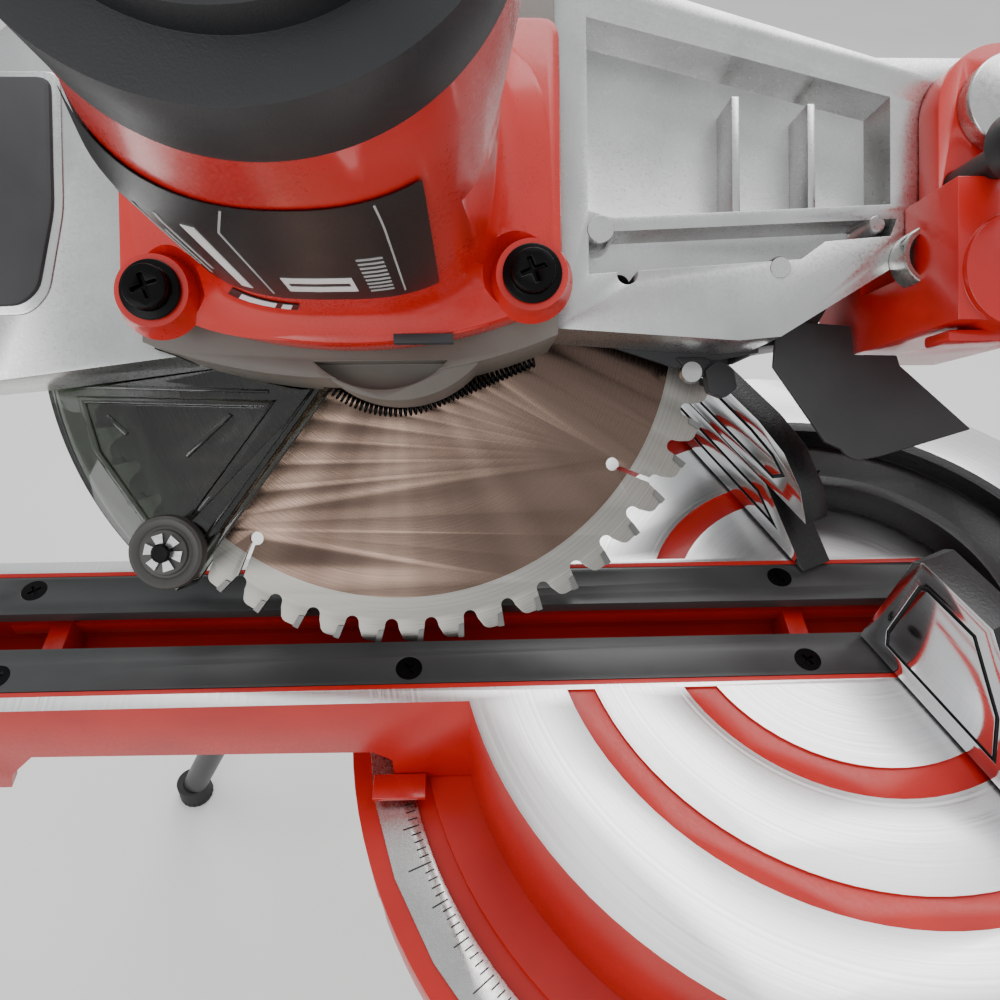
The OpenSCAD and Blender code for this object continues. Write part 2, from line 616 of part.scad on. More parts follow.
module pivot_bracket() color("firebrick") at_head() difference() {
  union() {
    // Block that holds the front ends of the rails
    block([rail_x - rail_gap / 2 - 17, chop_y - 22, -12.5], [rail_x + rail_gap / 2 + 17, bracket_back, 24]);
    // Round boss towards the user
    shaft_x(chop_y - 6, 0, 40, rail_x + rail_gap / 2 + 19, 15);
    // Ears of the chop hinge
    for (x = [arm_x0 - gap - ear_t, arm_x1 + gap])
      slab_x(x, x + ear_t) {
        translate([chop_y, chop_v]) circle(r = 18);
        translate([chop_y - 18, 10]) square([36, chop_v - 10]);
      }
  }
  shaft_x(chop_y, chop_v, -60, 90, 8);
  for (s = [-1, 1])
    shaft_y(rail_x + s * rail_gap / 2, rail_v - arbor_v, rail_y0 + pulled_out, bracket_back + 1, rail_r);
  // Room for the arm's end and the dust path between the ears
  block([arm_x0 - gap, chop_y - 40, 5], [arm_x1 + gap, chop_y + 40, chop_v + 20]);
  shaft_x(lock_y, lock_v, 30, 100, 4 + run);
}
lock_y = chop_y - 12.5;
lock_v = chop_v - 20.8;
module chop_pivot_pin() color("silver") at_head() {
  shaft_x(chop_y, chop_v, arm_x0 - gap - ear_t - 3, arm_x1 + gap + ear_t + 6, 8);
  shaft_x(chop_y, chop_v, arm_x1 + gap + ear_t, arm_x1 + gap + ear_t + 6, 13);
}
module lock_pin() color("black") at_head() {
  shaft_x(lock_y, lock_v, arm_x1 + gap + 1, rail_x + rail_gap / 2 + 36, 4);
  shaft_x(lock_y, lock_v, rail_x + rail_gap / 2 + 26, rail_x + rail_gap / 2 + 36, 9);
}

// --- Head ---
arm_outline = [
  [-160, -27], [-107, -22.5], [-48, -15], [45, -9], [100, -13], [112, -12],
  [chop_y - 12, 15.5], [chop_y + 2, 28.5], [chop_y, 67], [chop_y - 30, 67], [40, 96], [-80, 92], [-160, 30]
];
module head_arm() color("silver") at_head() difference() {
  union() {
    slab_x(arm_x0, arm_x1) polygon(arm_outline);
    shaft_x(chop_y, chop_v, arm_x0, arm_x1, 19.5);
    // Bearing boss that the blade's lower guard turns on
    shaft_x(0, 0, 6.6, case_x - gap / 2, boss_r);
    shaft_x(0, 0, arm_x0, case_x - gap / 2, 24);
  }
  shaft_x(chop_y, chop_v, 0, 60, 8 + run);
  // Hole that the lock pin enters
  shaft_x(lock_y, lock_v, arm_x1 - 12, arm_x1 + 1, 4 + run);
  // Flat seat of the gear housing
  slab_x(case_x, arm_x1 + 1) offset(delta = 0.5) case_outline();
  // Pockets between the ribs
  slab_x(25, arm_x1 + 1) polygon([[57, 6], [103, 9], [118, 10], [125, 15], [144, 16.5], [146, 21.5], [64, 18], [57, 20]]);
  slab_x(22, arm_x1 + 1) polygon([[57, 24], [64, 22], [144, 25.5], [144, 56], [57, 78]]);
  slab_x(30, arm_x1 + 1) polygon([[-152, -12], [-112, -9], [-112, 40], [-150, 24]]);
  shaft_x(0, 0, 0, 40, shaft_r + run);
  shaft_x(68, 6, 0, 40, 3);
}
case_edge_r = 150;
module case_outline() {
  intersection() {
    translate([-10, case_edge_r - 24]) circle(r = case_edge_r);
    translate([-64, -30]) square([111, 118]);
  }
  circle(r = 25);
}
module gear_housing() color("gray") at_head() difference() {
  union() {
    slab_x(case_x, flange_x) case_outline();
    // Boss over the end of the arbor
    shaft_x(3, 0, case_x + 7, flange_x - 1, 30);
  }
  // Groove that the guard's spring lies in
  difference() {
    shaft_x(0, 0, case_x - 1, case_x + 6, spring_r + 2.8);
    shaft_x(0, 0, case_x - 2, case_x + 7, spring_r - 2.8);
  }
  // Gear chamber and shaft bores
  shaft_x(0, 0, case_x + 3, case_x + 17, gear_m * (gear_teeth / 2 + 2));
  shaft_x(motor_y, motor_v, case_x + 3, case_x + 17, gear_m * (pinion_teeth / 2 + 2));
  shaft_x(0, 0, 0, case_x + 26, shaft_r + run);
  shaft_x(motor_y, motor_v, case_x + 10, 60, 5 + run);
  // Half-moon recess on the boss
  difference() {
    shaft_x(-1, -2, flange_x - 6, flange_x, 25);
    block([flange_x - 7, -40, -19.5], [flange_x + 2, 40, 40]);
  }
}
module motor_housing() color("firebrick") at_head() difference() {
  union() {
    // Flange with its curved lower edge
    slab_x(flange_x, motor_x) intersection() {
      translate([-7, flange_edge_r - 17]) circle(r = flange_edge_r);
      translate([-65, -20]) square([112, 86]);
    }
    // Shoulder that blends the flange into the round housing
    hull() {
      shaft_x(motor_y, motor_v + 2, motor_x, motor_x + 1, motor_r + 8, $fn = 48);
      shaft_x(motor_y, motor_v, motor_x + 9, motor_x + 10, motor_r, $fn = 48);
    }
    shaft_x(motor_y, motor_v, motor_x, motor_end, motor_r);
    for (p = motor_screw_at) shaft_x(p[0], p[1], motor_x, motor_x + 6, 9);
  }
  shaft_x(motor_y, motor_v, motor_x - 6, motor_end + 1, motor_r - 4);
  shaft_x(motor_y, motor_v, 0, motor_x, 8.6);
  // Scoops over the two screws
  for (p = motor_screw_at) shaft_x(p[0], p[1], motor_x + 6, motor_x + 34, 10.5);
  // Cooling slots round the far end of the housing
  for (a = [0:24:336]) translate([motor_end - 26, motor_y, motor_v]) rotate([a, 0, 0])
    block([0, motor_r - 6, -1.5], [20, motor_r + 2, 1.5]);
}
motor_screw_at = [[-54.6, -4.5], [38.7, -1]];
flange_edge_r = 127;
module motor_screws() color("black") at_head() for (p = motor_screw_at) {
  shaft_x(p[0], p[1], motor_x + 6, motor_x + 7.4, 7.4);
  difference() {
    shaft_x(p[0], p[1], motor_x + 7.4, motor_x + 11, 5.4);
    for (a = [0, 90]) translate([motor_x + 12, p[0], p[1]]) rotate([a + 20, 0, 0])
      block([-3, -3.2, -0.6], [1, 3.2, 0.6]);
  }
}
module motor_end_cap() color("black") at_head() difference() {
  union() {
    shaft_x(motor_y, motor_v, motor_end, motor_end + 16, motor_r);
    shaft_x(motor_y, motor_v, motor_end + 16, motor_end + 22, motor_r - 8);
  }
  shaft_x(motor_y, motor_v, motor_end - 1, motor_end + 14, motor_r - 4);
  for (a = [0:20:340]) translate([motor_end + 11, motor_y, motor_v]) rotate([a, 0, 0])
    block([0, 14, -2], [20, motor_r - 12, 2]);
}
module motor_stator() color("dimgray") at_head() difference() {
  shaft_x(motor_y, motor_v, motor_x + 14, motor_end - 14, motor_r - 4);
  shaft_x(motor_y, motor_v, motor_x, motor_end, 24);
}
// A spur gear outline with straight-flanked teeth
module gear(count, scale_tip = 1) {
  r = gear_m * count / 2;
  polygon([for (i = [0:count - 1], k = [0:3])
    let(a = (i + [-0.27, -0.13, 0.13, 0.27][k]) * 360 / count, q = r + gear_m * [-1.1, 0.85, 0.85, -1.1][k] * scale_tip)
    q * [cos(a), sin(a)]]);
}
gear_x0 = case_x + 5;
gear_x1 = case_x + 14;
module armature() color("peru") at_head() translate([0, motor_y, motor_v]) {
  slab_x(gear_x0, gear_x1) rotate(motor_angle + 180 + 180 / pinion_teeth) gear(pinion_teeth);
  shaft_x(0, 0, gear_x1, motor_end + 8, 5);
  shaft_x(0, 0, motor_x + 16, motor_end - 20, 22);
  shaft_x(0, 0, motor_end - 16, motor_end - 4, 12);
}
module arbor_shaft() color("silver") at_head() {
  slab_x(gear_x0, gear_x1) difference() {
    rotate(motor_angle) gear(gear_teeth);
    circle(r = shaft_r - 1);
  }
  shaft_x(0, 0, flange_x0, case_x + 24, shaft_r);
}
shaft_r = 8.5;
flange_x0 = 5;
module blade_outline() {
  root = blade_r - 9.4;
  gullet_r = 2.4;
  step = 360 / teeth;
  difference() {
    circle(r = blade_r - 0.6, $fn = 192);
    for (i = [0:teeth - 1]) rotate(i * step) {
      // Gullet: a round floor, a steep face below the tip and a long sloping back
      polygon([
        [root + gullet_r, 0.2], [blade_r + 2, -0.6], [blade_r + 2, 9.2], [blade_r - 1.2, 8.2],
        [blade_r - 3, 6.4], [root + gullet_r + 0.4, 2 * gullet_r]
      ]);
      translate([root + gullet_r, gullet_r + 0.1]) circle(r = gullet_r, $fn = 24);
    }
    circle(r = blade_bore / 2);
    // Expansion slots that end in round holes
    for (i = [0:3]) rotate(i * 90 + slot_turn) {
      translate([blade_r - 21, 0]) circle(r = 2.2, $fn = 20);
      translate([blade_r - 21, -0.5]) square([12, 1]);
    }
  }
}
slot_turn = 45;
tooth_turn = 281;
module blade() color("silver") at_head() {
  slab_x(-plate_t / 2, plate_t / 2) rotate(tooth_turn) blade_outline();
  // Carbide tips
  slab_x(-cut_t / 2, cut_t / 2) rotate(tooth_turn) for (i = [0:teeth - 1]) rotate(i * 360 / teeth)
    polygon([[blade_r - 4.6, 0.1], [blade_r, -0.1], [blade_r - 0.3, -2.2], [blade_r - 4.6, -1.9]]);
}
module blade_flanges() color("dimgray") at_head() {
  shaft_x(0, 0, plate_t / 2, flange_x0, 25);
  shaft_x(0, 0, -6, -plate_t / 2, 25);
  shaft_x(0, 0, -plate_t / 2, plate_t / 2, blade_bore / 2);
  shaft_x(0, 0, -8, -6, 11);
  translate([-13.5, 0, 0]) rotate([0, 90, 0]) cylinder(r = 7.5, h = 5.5, $fn = 6);
}

// Guards. Angles go from the back, over the top, to the front
hood_x0 = -14;
hood_x1 = 11.6;
chute_r = 13;
chute_l = 50;
chute_neck = 28;
module chute_place() translate([-2.5, blade_r + 3, 34]) rotate([-40, 0, 0]) children();
module upper_guard() color("black") at_head() difference() {
  union() {
    slab_x(hood_x0, hood_x1) intersection() {
      circle(r = hood_r, $fn = 96);
      polygon([[-140, 4], [-60, 2], [20, -8], [64, -9], [88, -17], [140, -8], [140, 140], [-140, 140]]);
    }
    // Dust chute to the rear
    slab_x(hood_x0, 9) translate([blade_r - 105, 0])
      polygon([[70, 60], [104, -12], [132, -8], [143, 10], [144, 40], [110, 64]]);
    chute_place() cylinder(r = chute_r - 1.6, h = chute_l - 1);
    chute_place() translate([0, 0, chute_neck]) cylinder(r = chute_r, h = chute_l - chute_neck);
  }
  // Inside of the hood
  slab_x(hood_x0 + 2, 10.2) circle(r = hood_r - 2.2, $fn = 96);
  slab_x(hood_x0 + 2, 7) translate([blade_r - 105, 0])
    polygon([[60, 50], [102, -8], [130, -5], [140, 12], [141, 38], [106, 60]]);
  chute_place() translate([0, 0, 4]) cylinder(r = chute_r - 3.2, h = chute_l);
  // Opening on the user's side, under the arm and the gear housing
  slab_x(9, 13) polygon([[-140, 0], [-140, 140], [54, 140], [54, -20]]);
  block([hood_x0 - 1, -20, -20], [-11, 20, 20]);
}
module dust_flap() color("black") at_head() {
  slab_x(9.05, 10.15)
    polygon([
      [chop_y - 58, -13], [chop_y - 50.5, -17], [chop_y - 35, -41], [chop_y - 30, -45.5], [chop_y - 25.5, -47],
      [chop_y - 18, -46], [chop_y + 12, -37.7], [chop_y - 5, -17], [chop_y - 23.5, -17], [chop_y - 25, -6]
    ]);
}
guard_x0 = -10.6;
guard_x1 = 9.6;
module guard_sector(r) intersection() {
  circle(r = r, $fn = 96);
  union() {
    slice(200, 72, 222, 12);
    polygon([[0, 0], [-20, -17], [-72, -88], [-140, -80], [-80, 20]]);
    circle(r = 27);
  }
}
module lower_guard() color([0.3, 0.32, 0.34, 0.5]) at_head() difference() {
  union() {
    difference() {
      slab_x(guard_x0, guard_x1) guard_sector(guard_r);
      slab_x(guard_x0 + 2, guard_x1 - 2) circle(r = guard_r - 2.5, $fn = 96);
      shaft_x(0, 0, -20, 0, 40);
    }
    // Raised pocket border on the near wall
    slab_x(guard_x1, guard_x1 + 1.2) difference() {
      guard_border(0);
      guard_border(2);
    }
    // Axle boss of the roller
    shaft_x(roller_c[0], roller_c[1], guard_x1 - 1.5, guard_x1 + 3, 6);
  }
  shaft_x(0, 0, 0, 20, boss_r + 0.08);
  shaft_x(roller_c[0], roller_c[1], 0, 20, 3);
}
module guard_border(inset) offset(delta = -inset)
  polygon([[-38, -26], [-68, -66], [-78, -66], [-94, -42], [-99, -24]]);
roller_c = roller_at * [cos(roller_angle), sin(roller_angle)];
module guard_roller() color("black") at_head() translate([0, roller_c[0], roller_c[1]]) {
  shaft_x(0, 0, guard_x1 + 3 + gap, guard_x1 + 10, roller_r);
  shaft_x(0, 0, guard_x1 + 10, guard_x1 + 12, 6.8);
  shaft_x(0, 0, guard_x1 - 1.5, guard_x1 + 14, 3 - run);
}
spring_r = boss_r + 9;
module guard_spring() color("black") at_head() translate([case_x + 2.5, 0, 0]) rotate([90, 0, 90])
  rotate(215) rotate_extrude(angle = 110) translate([spring_r, 0]) circle(r = 2.2, $fn = 24);

// Main handle, trigger and lock-off
handle_x = 25;
grip = [[-150, 0], [-196, -4], [-218, 44], [-196, 92], [-148, 84]];
module main_handle() color("black") at_head() difference() {
  union() {
    for (i = [0:3]) rod([handle_x, grip[i][0], grip[i][1]], [handle_x, grip[i + 1][0], grip[i + 1][1]], 12.5);
    for (i = [1:3]) translate([handle_x, grip[i][0], grip[i][1]]) sphere(r = 12.9, $fn = 48);
    block([arm_x0 + 1, -168, -20], [arm_x1 - 1, -152, 24]);
  }
  slab_x(arm_x0 - 5, arm_x1 + 5) polygon(arm_outline);
  // Slots for the trigger and the lock-off button
  block([handle_x - 4.4, -213, 18], [handle_x + 4.4, -190, 58]);
  translate([handle_x, -185, 88]) cylinder(r = 5 + run, h = 30);
}
module trigger() color("red") at_head()
  block([handle_x - 4, -205, 20], [handle_x + 4, -191, 56]);
module lockoff_button() color("dimgray") at_head() translate([handle_x, -185, 94]) cylinder(r = 5, h = 13);

stand_beams();
mounting_brackets();
left_bracket_lever();
right_bracket_lever();
saw_mount_bolts();
left_leg_tubes();
left_leg_braces();
left_leg_feet();
right_leg_tubes();
right_leg_braces();
right_leg_feet();
leg_pivot_bolts();
left_extension_arm();
left_support_roller();
left_extension_knob();
right_extension_arm();
right_support_roller();
right_extension_knob();
saw_base();
mitre_scale();
fence();
sliding_fence();
sliding_fence_knob();
clamp_post();
clamp_pad();
clamp_screw();
turntable();
kerf_plate_left();
kerf_plate_right();
kerf_plate_screws();
mitre_handle();
detent_lever();
mitre_pointer();
bevel_arm();
bevel_lock_lever();
slide_lock_knob();
slide_rails();
rail_end_cap();
pivot_bracket();
chop_pivot_pin();
lock_pin();
head_arm();
upper_guard();
dust_flap();
gear_housing();
motor_housing();
motor_end_cap();
motor_screws();
motor_stator();
main_handle();
trigger();
lockoff_button();
armature();
arbor_shaft();
blade();
blade_flanges();
lower_guard();
guard_roller();
guard_spring();
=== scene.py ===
# %% [markdown]
# # Mitre saw on a folding stand
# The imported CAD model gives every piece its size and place. This lesson dresses it: it rounds the edges
# of the castings and mouldings, grows the teeth, the spring and the ribs, and gives each piece a finish
# worked out from what the real one is made of. Everything is in metres, and the CAD model stays where
# it is.

# %% Load the CAD model as the frame
import json
import math

import bmesh
import bpy
from mathutils import Matrix, Vector


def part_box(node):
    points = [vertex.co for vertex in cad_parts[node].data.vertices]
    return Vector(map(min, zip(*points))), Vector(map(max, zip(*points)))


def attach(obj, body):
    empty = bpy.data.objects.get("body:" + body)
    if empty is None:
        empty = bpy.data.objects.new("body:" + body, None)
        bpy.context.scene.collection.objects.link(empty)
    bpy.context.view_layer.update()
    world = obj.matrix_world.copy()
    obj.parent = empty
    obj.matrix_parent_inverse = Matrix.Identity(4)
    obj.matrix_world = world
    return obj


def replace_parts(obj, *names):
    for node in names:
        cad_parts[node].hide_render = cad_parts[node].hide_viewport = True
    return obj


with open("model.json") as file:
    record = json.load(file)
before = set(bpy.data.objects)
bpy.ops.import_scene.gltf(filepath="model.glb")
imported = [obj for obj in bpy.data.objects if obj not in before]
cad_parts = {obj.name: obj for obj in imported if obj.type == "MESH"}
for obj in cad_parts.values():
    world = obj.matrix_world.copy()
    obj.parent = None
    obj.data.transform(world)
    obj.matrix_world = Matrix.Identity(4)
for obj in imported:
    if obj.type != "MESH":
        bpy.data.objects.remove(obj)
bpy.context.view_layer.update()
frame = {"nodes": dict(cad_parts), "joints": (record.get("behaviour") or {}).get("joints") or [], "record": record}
MM = 0.001

# %% [markdown]
# The saw stands with its table turned and its head tilted, so straight lines on it are slanted in the
# room. Two tilted frames make the work easy: the table's frame has its X to the user's right and its Y
# along the cut, and the head's frame has its X along the arbor towards the motor, its Y along the cut
# and its Z up the blade. Both are read from the joints, so they follow the CAD model.

# %% Frames of the table and of the head
JOINTS = {joint["name"]: joint for joint in frame["joints"]}


def tilted_frame(origin, x_axis, y_axis):
    """A matrix that places what is modelled round its own origin."""
    z_axis = x_axis.cross(y_axis)
    axes = Matrix((x_axis, y_axis, z_axis)).transposed()
    return Matrix.Translation(origin) @ axes.to_4x4()


ALONG_CUT = Vector(JOINTS["bevel_tilt"]["axis"])
ARBOR = Vector(JOINTS["blade_spin"]["axis"])
TABLE = tilted_frame(Vector(JOINTS["mitre_swing"]["pos_m"]), ALONG_CUT.cross(Vector((0, 0, 1))), ALONG_CUT)
HEAD = tilted_frame(Vector(JOINTS["blade_spin"]["pos_m"]), ARBOR, ALONG_CUT)
BASE = Matrix.Translation(TABLE.translation)
print("table centre", TABLE.translation, "arbor", HEAD.translation)

# %% [markdown]
# ## Camera, floor and light
# The camera hangs a hand's width above the table and looks across the blade. Its place is given in the
# table's frame, so it is easy to read: to the right of the cut, a little in front of the fence, and 224
# mm above the table.

# %% Camera
camera = bpy.data.objects.new("camera", bpy.data.cameras.new("camera"))
bpy.context.scene.collection.objects.link(camera)
right = Vector((0.03587, 0.99922, 0.01646))
upward = Vector((-0.72091, 0.01447, 0.69287))
look = tilted_frame(Vector((159.08, -123.60, 224.0)) * MM, right, upward)
camera.matrix_world = TABLE @ look
camera.data.sensor_width = 36
camera.data.lens = 29.62
camera.data.clip_start = 0.01
bpy.context.scene.camera = camera
print("camera at", camera.matrix_world.translation)


# %% [markdown]
# A node is added with its settings and its links in one call. Colours are written as sRGB hex values,
# as a paint chart gives them, and one function turns them to the linear values that Blender works with.

# %% Nodes and colours
def srgb(code):
    """Linear RGBA of a hex colour such as #C8102E."""
    parts = [int(code[i:i + 2], 16) / 255 for i in (1, 3, 5)]
    return tuple(p / 12.92 if p <= 0.04045 else ((p + 0.055) / 1.055) ** 2.4 for p in parts) + (1.0,)


def add(tree, kind, inputs=(), **settings):
    """Adds a node. inputs maps a socket's name or number to a value or to another node's output."""
    made = tree.nodes.new(kind)
    for name, value in settings.items():
        setattr(made, name, value)
    for key, value in dict(inputs).items():
        if isinstance(value, bpy.types.NodeSocket):
            tree.links.new(value, made.inputs[key])
        else:
            made.inputs[key].default_value = value
    return made


# %% Floor and studio light
SAW_MIDDLE = Vector((0, 0, 0.85))


def area_light(name, place, size, power):
    """A soft box that faces the saw."""
    data = bpy.data.lights.new(name, "AREA")
    data.shape = "RECTANGLE"
    data.size, data.size_y = size
    data.energy = power
    lamp = bpy.data.objects.new(name, data)
    bpy.context.scene.collection.objects.link(lamp)
    lamp.location = place
    lamp.rotation_euler = (SAW_MIDDLE - Vector(place)).to_track_quat("-Z", "Y").to_euler()
    return lamp


world = bpy.data.worlds.new("studio")
bpy.context.scene.world = world
world.use_nodes = True
world.node_tree.nodes["Background"].inputs["Color"].default_value = srgb("#F4F6F8")
world.node_tree.nodes["Background"].inputs["Strength"].default_value = 0.9
area_light("overhead", (-0.5, 0.5, 3.0), (2.4, 1.2), 42)
area_light("window", (-2.2, 1.2, 2.2), (1.4, 1.6), 30)
area_light("front_fill", (1.6, -2.4, 1.9), (1.8, 1.4), 26)

floor_mesh = bpy.data.meshes.new("floor")
floor_mesh.from_pydata([(x, y, 0) for x, y in ((-6, -6), (6, -6), (6, 6), (-6, 6))], [], [(0, 1, 2, 3)])
floor = bpy.data.objects.new("floor", floor_mesh)
bpy.context.scene.collection.objects.link(floor)


def floor_paint():
    """Pale matt studio floor with a faint mottle."""
    material = bpy.data.materials.new("floor_paint")
    material.use_nodes = True
    tree = material.node_tree
    shader = tree.nodes["Principled BSDF"]
    place = add(tree, "ShaderNodeTexCoord").outputs["Object"]
    mottle = add(tree, "ShaderNodeTexNoise", {"Vector": place, "Scale": 3.0, "Detail": 4.0})
    ramp = add(tree, "ShaderNodeMix", {0: mottle.outputs[0], 6: srgb("#E4E3E0"), 7: srgb("#F0EFEC")},
               data_type="RGBA")
    tree.links.new(ramp.outputs[2], shader.inputs["Base Color"])
    shader.inputs["Roughness"].default_value = 0.7
    return material


floor_mesh.materials.append(floor_paint())


# %% [markdown]
# ## Finishes
# Every finish starts from what the surface is and how it was made. A small helper starts a material: it
# sets the values that are the same all over on the shader itself, and gives back the shader and the
# coordinates to build on. A frame may be named, so that a pattern lies along the fence, round the
# turntable or round the arbor.

# %% Starting a finish
FINISHES = {}


def start(name, frame_matrix=None, **fixed):
    """A new material with its fixed values set. Returns its tree, its shader and its coordinates."""
    material = bpy.data.materials.new(name)
    material.use_nodes = True
    tree = material.node_tree
    shader = tree.nodes["Principled BSDF"]
    for key, value in fixed.items():
        shader.inputs[key.replace("_", " ").title().replace("Ior", "IOR")].default_value = value
    coords = add(tree, "ShaderNodeTexCoord").outputs["Object"]
    if frame_matrix is not None:
        coords = add(tree, "ShaderNodeMapping", {
            "Vector": coords, "Location": frame_matrix.to_translation(),
            "Rotation": frame_matrix.to_euler(),
        }, vector_type="TEXTURE").outputs[0]
    FINISHES[name] = material
    return tree, shader, coords


def noise(tree, coords, size, detail=3.0, roughness=0.5):
    """Noise whose blobs are about as wide as size, in metres."""
    return add(tree, "ShaderNodeTexNoise", {
        "Vector": coords, "Scale": 1 / size, "Detail": detail, "Roughness": roughness,
    }).outputs[0]


def spread(tree, value, low, high, from_low=0.3, from_high=0.7):
    """Stretches a pattern to the range low to high."""
    return add(tree, "ShaderNodeMapRange", {
        "Value": value, "From Min": from_low, "From Max": from_high, "To Min": low, "To Max": high,
    }).outputs[0]


def blend_colours(tree, factor, first, second):
    """Mixes two colours. Either may be a hex code or another node's output."""
    pick = [srgb(c) if isinstance(c, str) else c for c in (first, second)]
    return add(tree, "ShaderNodeMix", {0: factor, 6: pick[0], 7: pick[1]}, data_type="RGBA").outputs[2]


def relief(tree, shader, height, depth):
    """Gives the shader a bump of the named depth."""
    bump = add(tree, "ShaderNodeBump", {"Height": height, "Distance": depth})
    tree.links.new(bump.outputs[0], shader.inputs["Normal"])


def calc(tree, operation, first, second=0.0):
    """One step of arithmetic on values or on other nodes' outputs."""
    return add(tree, "ShaderNodeMath", {0: first, 1: second}, operation=operation).outputs[0]


def line_noise(tree, distance, size, detail):
    """Cutter marks: noise that changes along one distance only, in lines about as wide as size."""
    return add(tree, "ShaderNodeTexNoise", {
        "W": calc(tree, "MULTIPLY", distance, 1 / size), "Scale": 1.0, "Detail": detail,
    }, noise_dimensions="1D").outputs[0]


def facing(tree, axis):
    """How much the surface faces along an axis of the room."""
    normal = add(tree, "ShaderNodeNewGeometry").outputs["Normal"]
    return add(tree, "ShaderNodeSeparateXYZ", {0: normal}).outputs[axis]


def stretched(tree, coords, scale):
    """Coordinates that are scaled by a different amount along each axis."""
    return add(tree, "ShaderNodeVectorMath", {0: coords, 1: scale}, operation="MULTIPLY").outputs[0]


# %% [markdown]
# **Powder-coated casting.** The base, table and brackets are die-cast aluminium with a baked powder
# coat. The melted powder leaves a fine orange peel of about 0.6 mm, and the paint is semi-gloss, so
# highlights are soft but clear.
# **Moulded plastics.** The red motor shell is glossy ABS. The black and grey ones are glass-filled
# nylon with a fine spark-eroded texture, which scatters the light: the grain is really 0.1 mm, and is
# drawn at 0.35 mm to show.

# %% Paint and plastic
def moulded(name, dark, light, rough, grain, depth, **fixed):
    """A skin with a slight mottle in its colour, gloss and surface."""
    tree, shader, coords = start(name, **fixed)
    blotch = noise(tree, coords, 0.03, 4.0)
    fine = noise(tree, coords, grain, 2.0, 0.6)
    tree.links.new(blend_colours(tree, spread(tree, blotch, 0, 1), dark, light),
                   shader.inputs["Base Color"])
    worn = calc(tree, "ADD", spread(tree, blotch, rough * 0.86, rough * 1.1),
                spread(tree, fine, -0.03, 0.03))
    tree.links.new(worn, shader.inputs["Roughness"])
    relief(tree, shader, fine, depth)


moulded("red_powder_coat", "#B4150F", "#C62118", 0.36, 0.0008, 0.00003, coat_weight=0.35,
        coat_roughness=0.16, ior=1.5)
moulded("red_abs", "#BE1A12", "#CE261C", 0.30, 0.0012, 0.00002, coat_weight=0.3, coat_roughness=0.1,
        ior=1.53)
moulded("black_nylon", "#17181A", "#242526", 0.48, 0.00035, 0.00003, ior=1.53)
moulded("satin_black_abs", "#2E2F30", "#3A3B3B", 0.38, 0.0004, 0.00002, ior=1.53)
moulded("roller_nylon", "#3E3C39", "#4B4946", 0.5, 0.0004, 0.00003, ior=1.53)
moulded("grey_nylon", "#605A53", "#6F6860", 0.46, 0.0004, 0.00003, ior=1.53)
moulded("black_rubber", "#151515", "#202020", 0.72, 0.0005, 0.00005, ior=1.52)
moulded("soft_rubber_flap", "#2A2A2B", "#3A3A3A", 0.5, 0.0009, 0.00003, ior=1.52)
moulded("stand_powder_coat", "#1B1C1E", "#26272A", 0.42, 0.0006, 0.00004, ior=1.5)
moulded("black_oxide_steel", "#0C0C0D", "#1A1A1B", 0.3, 0.0003, 0.00001, metallic=0.85)
# Painted shade: a dark grey skin for the thin plates that stand in the flange's notch and in the arm's side
# recess, where shade falls.
moulded("recess_painted_shade", "#2C2D2F", "#3A3B3D", 0.6, 0.0004, 0.00003, ior=1.5)
moulded("sticker_white", "#E9E9E6", "#F4F4F2", 0.4, 0.0006, 0.00001, ior=1.5)
moulded("label_grey", "#A9AAA8", "#BCBDBB", 0.45, 0.0006, 0.00001, ior=1.5)
moulded("sticker_black", "#101011", "#1B1B1C", 0.35, 0.0006, 0.00001, ior=1.5)


# %% [markdown]
# **Metals.** A machined face carries the marks of its cutter: straight lines about 0.5 mm apart on the
# fence, and rings on the turntable, because it was faced in a lathe. Die-cast aluminium has no lines,
# only a soft grain. A metal's colour is its mirror colour, so the tint is light even where the part
# looks dark in the room.

# %% Metal finishes
def plain_metal(name, dark, light, rough, grain, depth, stretch=(1, 1, 1), frame_matrix=None):
    """A metal with a grain, which may be drawn out along one axis as brushing does."""
    tree, shader, coords = start(name, frame_matrix, metallic=1.0)
    grained = noise(tree, stretched(tree, coords, stretch), grain, 4.0, 0.6)
    cloudy = noise(tree, coords, 0.02, 3.0)
    tree.links.new(blend_colours(tree, spread(tree, cloudy, 0, 1), dark, light),
                   shader.inputs["Base Color"])
    tree.links.new(spread(tree, grained, *rough), shader.inputs["Roughness"])
    relief(tree, shader, grained, depth)


plain_metal("die_cast_aluminium", "#C2C3C2", "#D6D7D6", (0.24, 0.38), 0.0009, 0.00002)
plain_metal("zinc_plated_steel", "#B9BBB8", "#D0D1CE", (0.2, 0.34), 0.0015, 0.00001)
plain_metal("hard_chrome", "#D9DADC", "#E4E5E7", (0.05, 0.12), 0.002, 0.000002)
plain_metal("turned_steel", "#A9A8A6", "#C4C3C0", (0.18, 0.3), 0.0006, 0.000006)
plain_metal("copper_winding", "#8E4A24", "#B5683A", (0.3, 0.45), 0.0008, 0.0001, stretch=(0.2, 1, 1),
            frame_matrix=HEAD)
plain_metal("bent_copper", "#A8683C", "#C98752", (0.22, 0.36), 0.001, 0.00001)
plain_metal("sintered_carbide", "#6F6E6C", "#8B8A87", (0.3, 0.42), 0.0005, 0.00001)


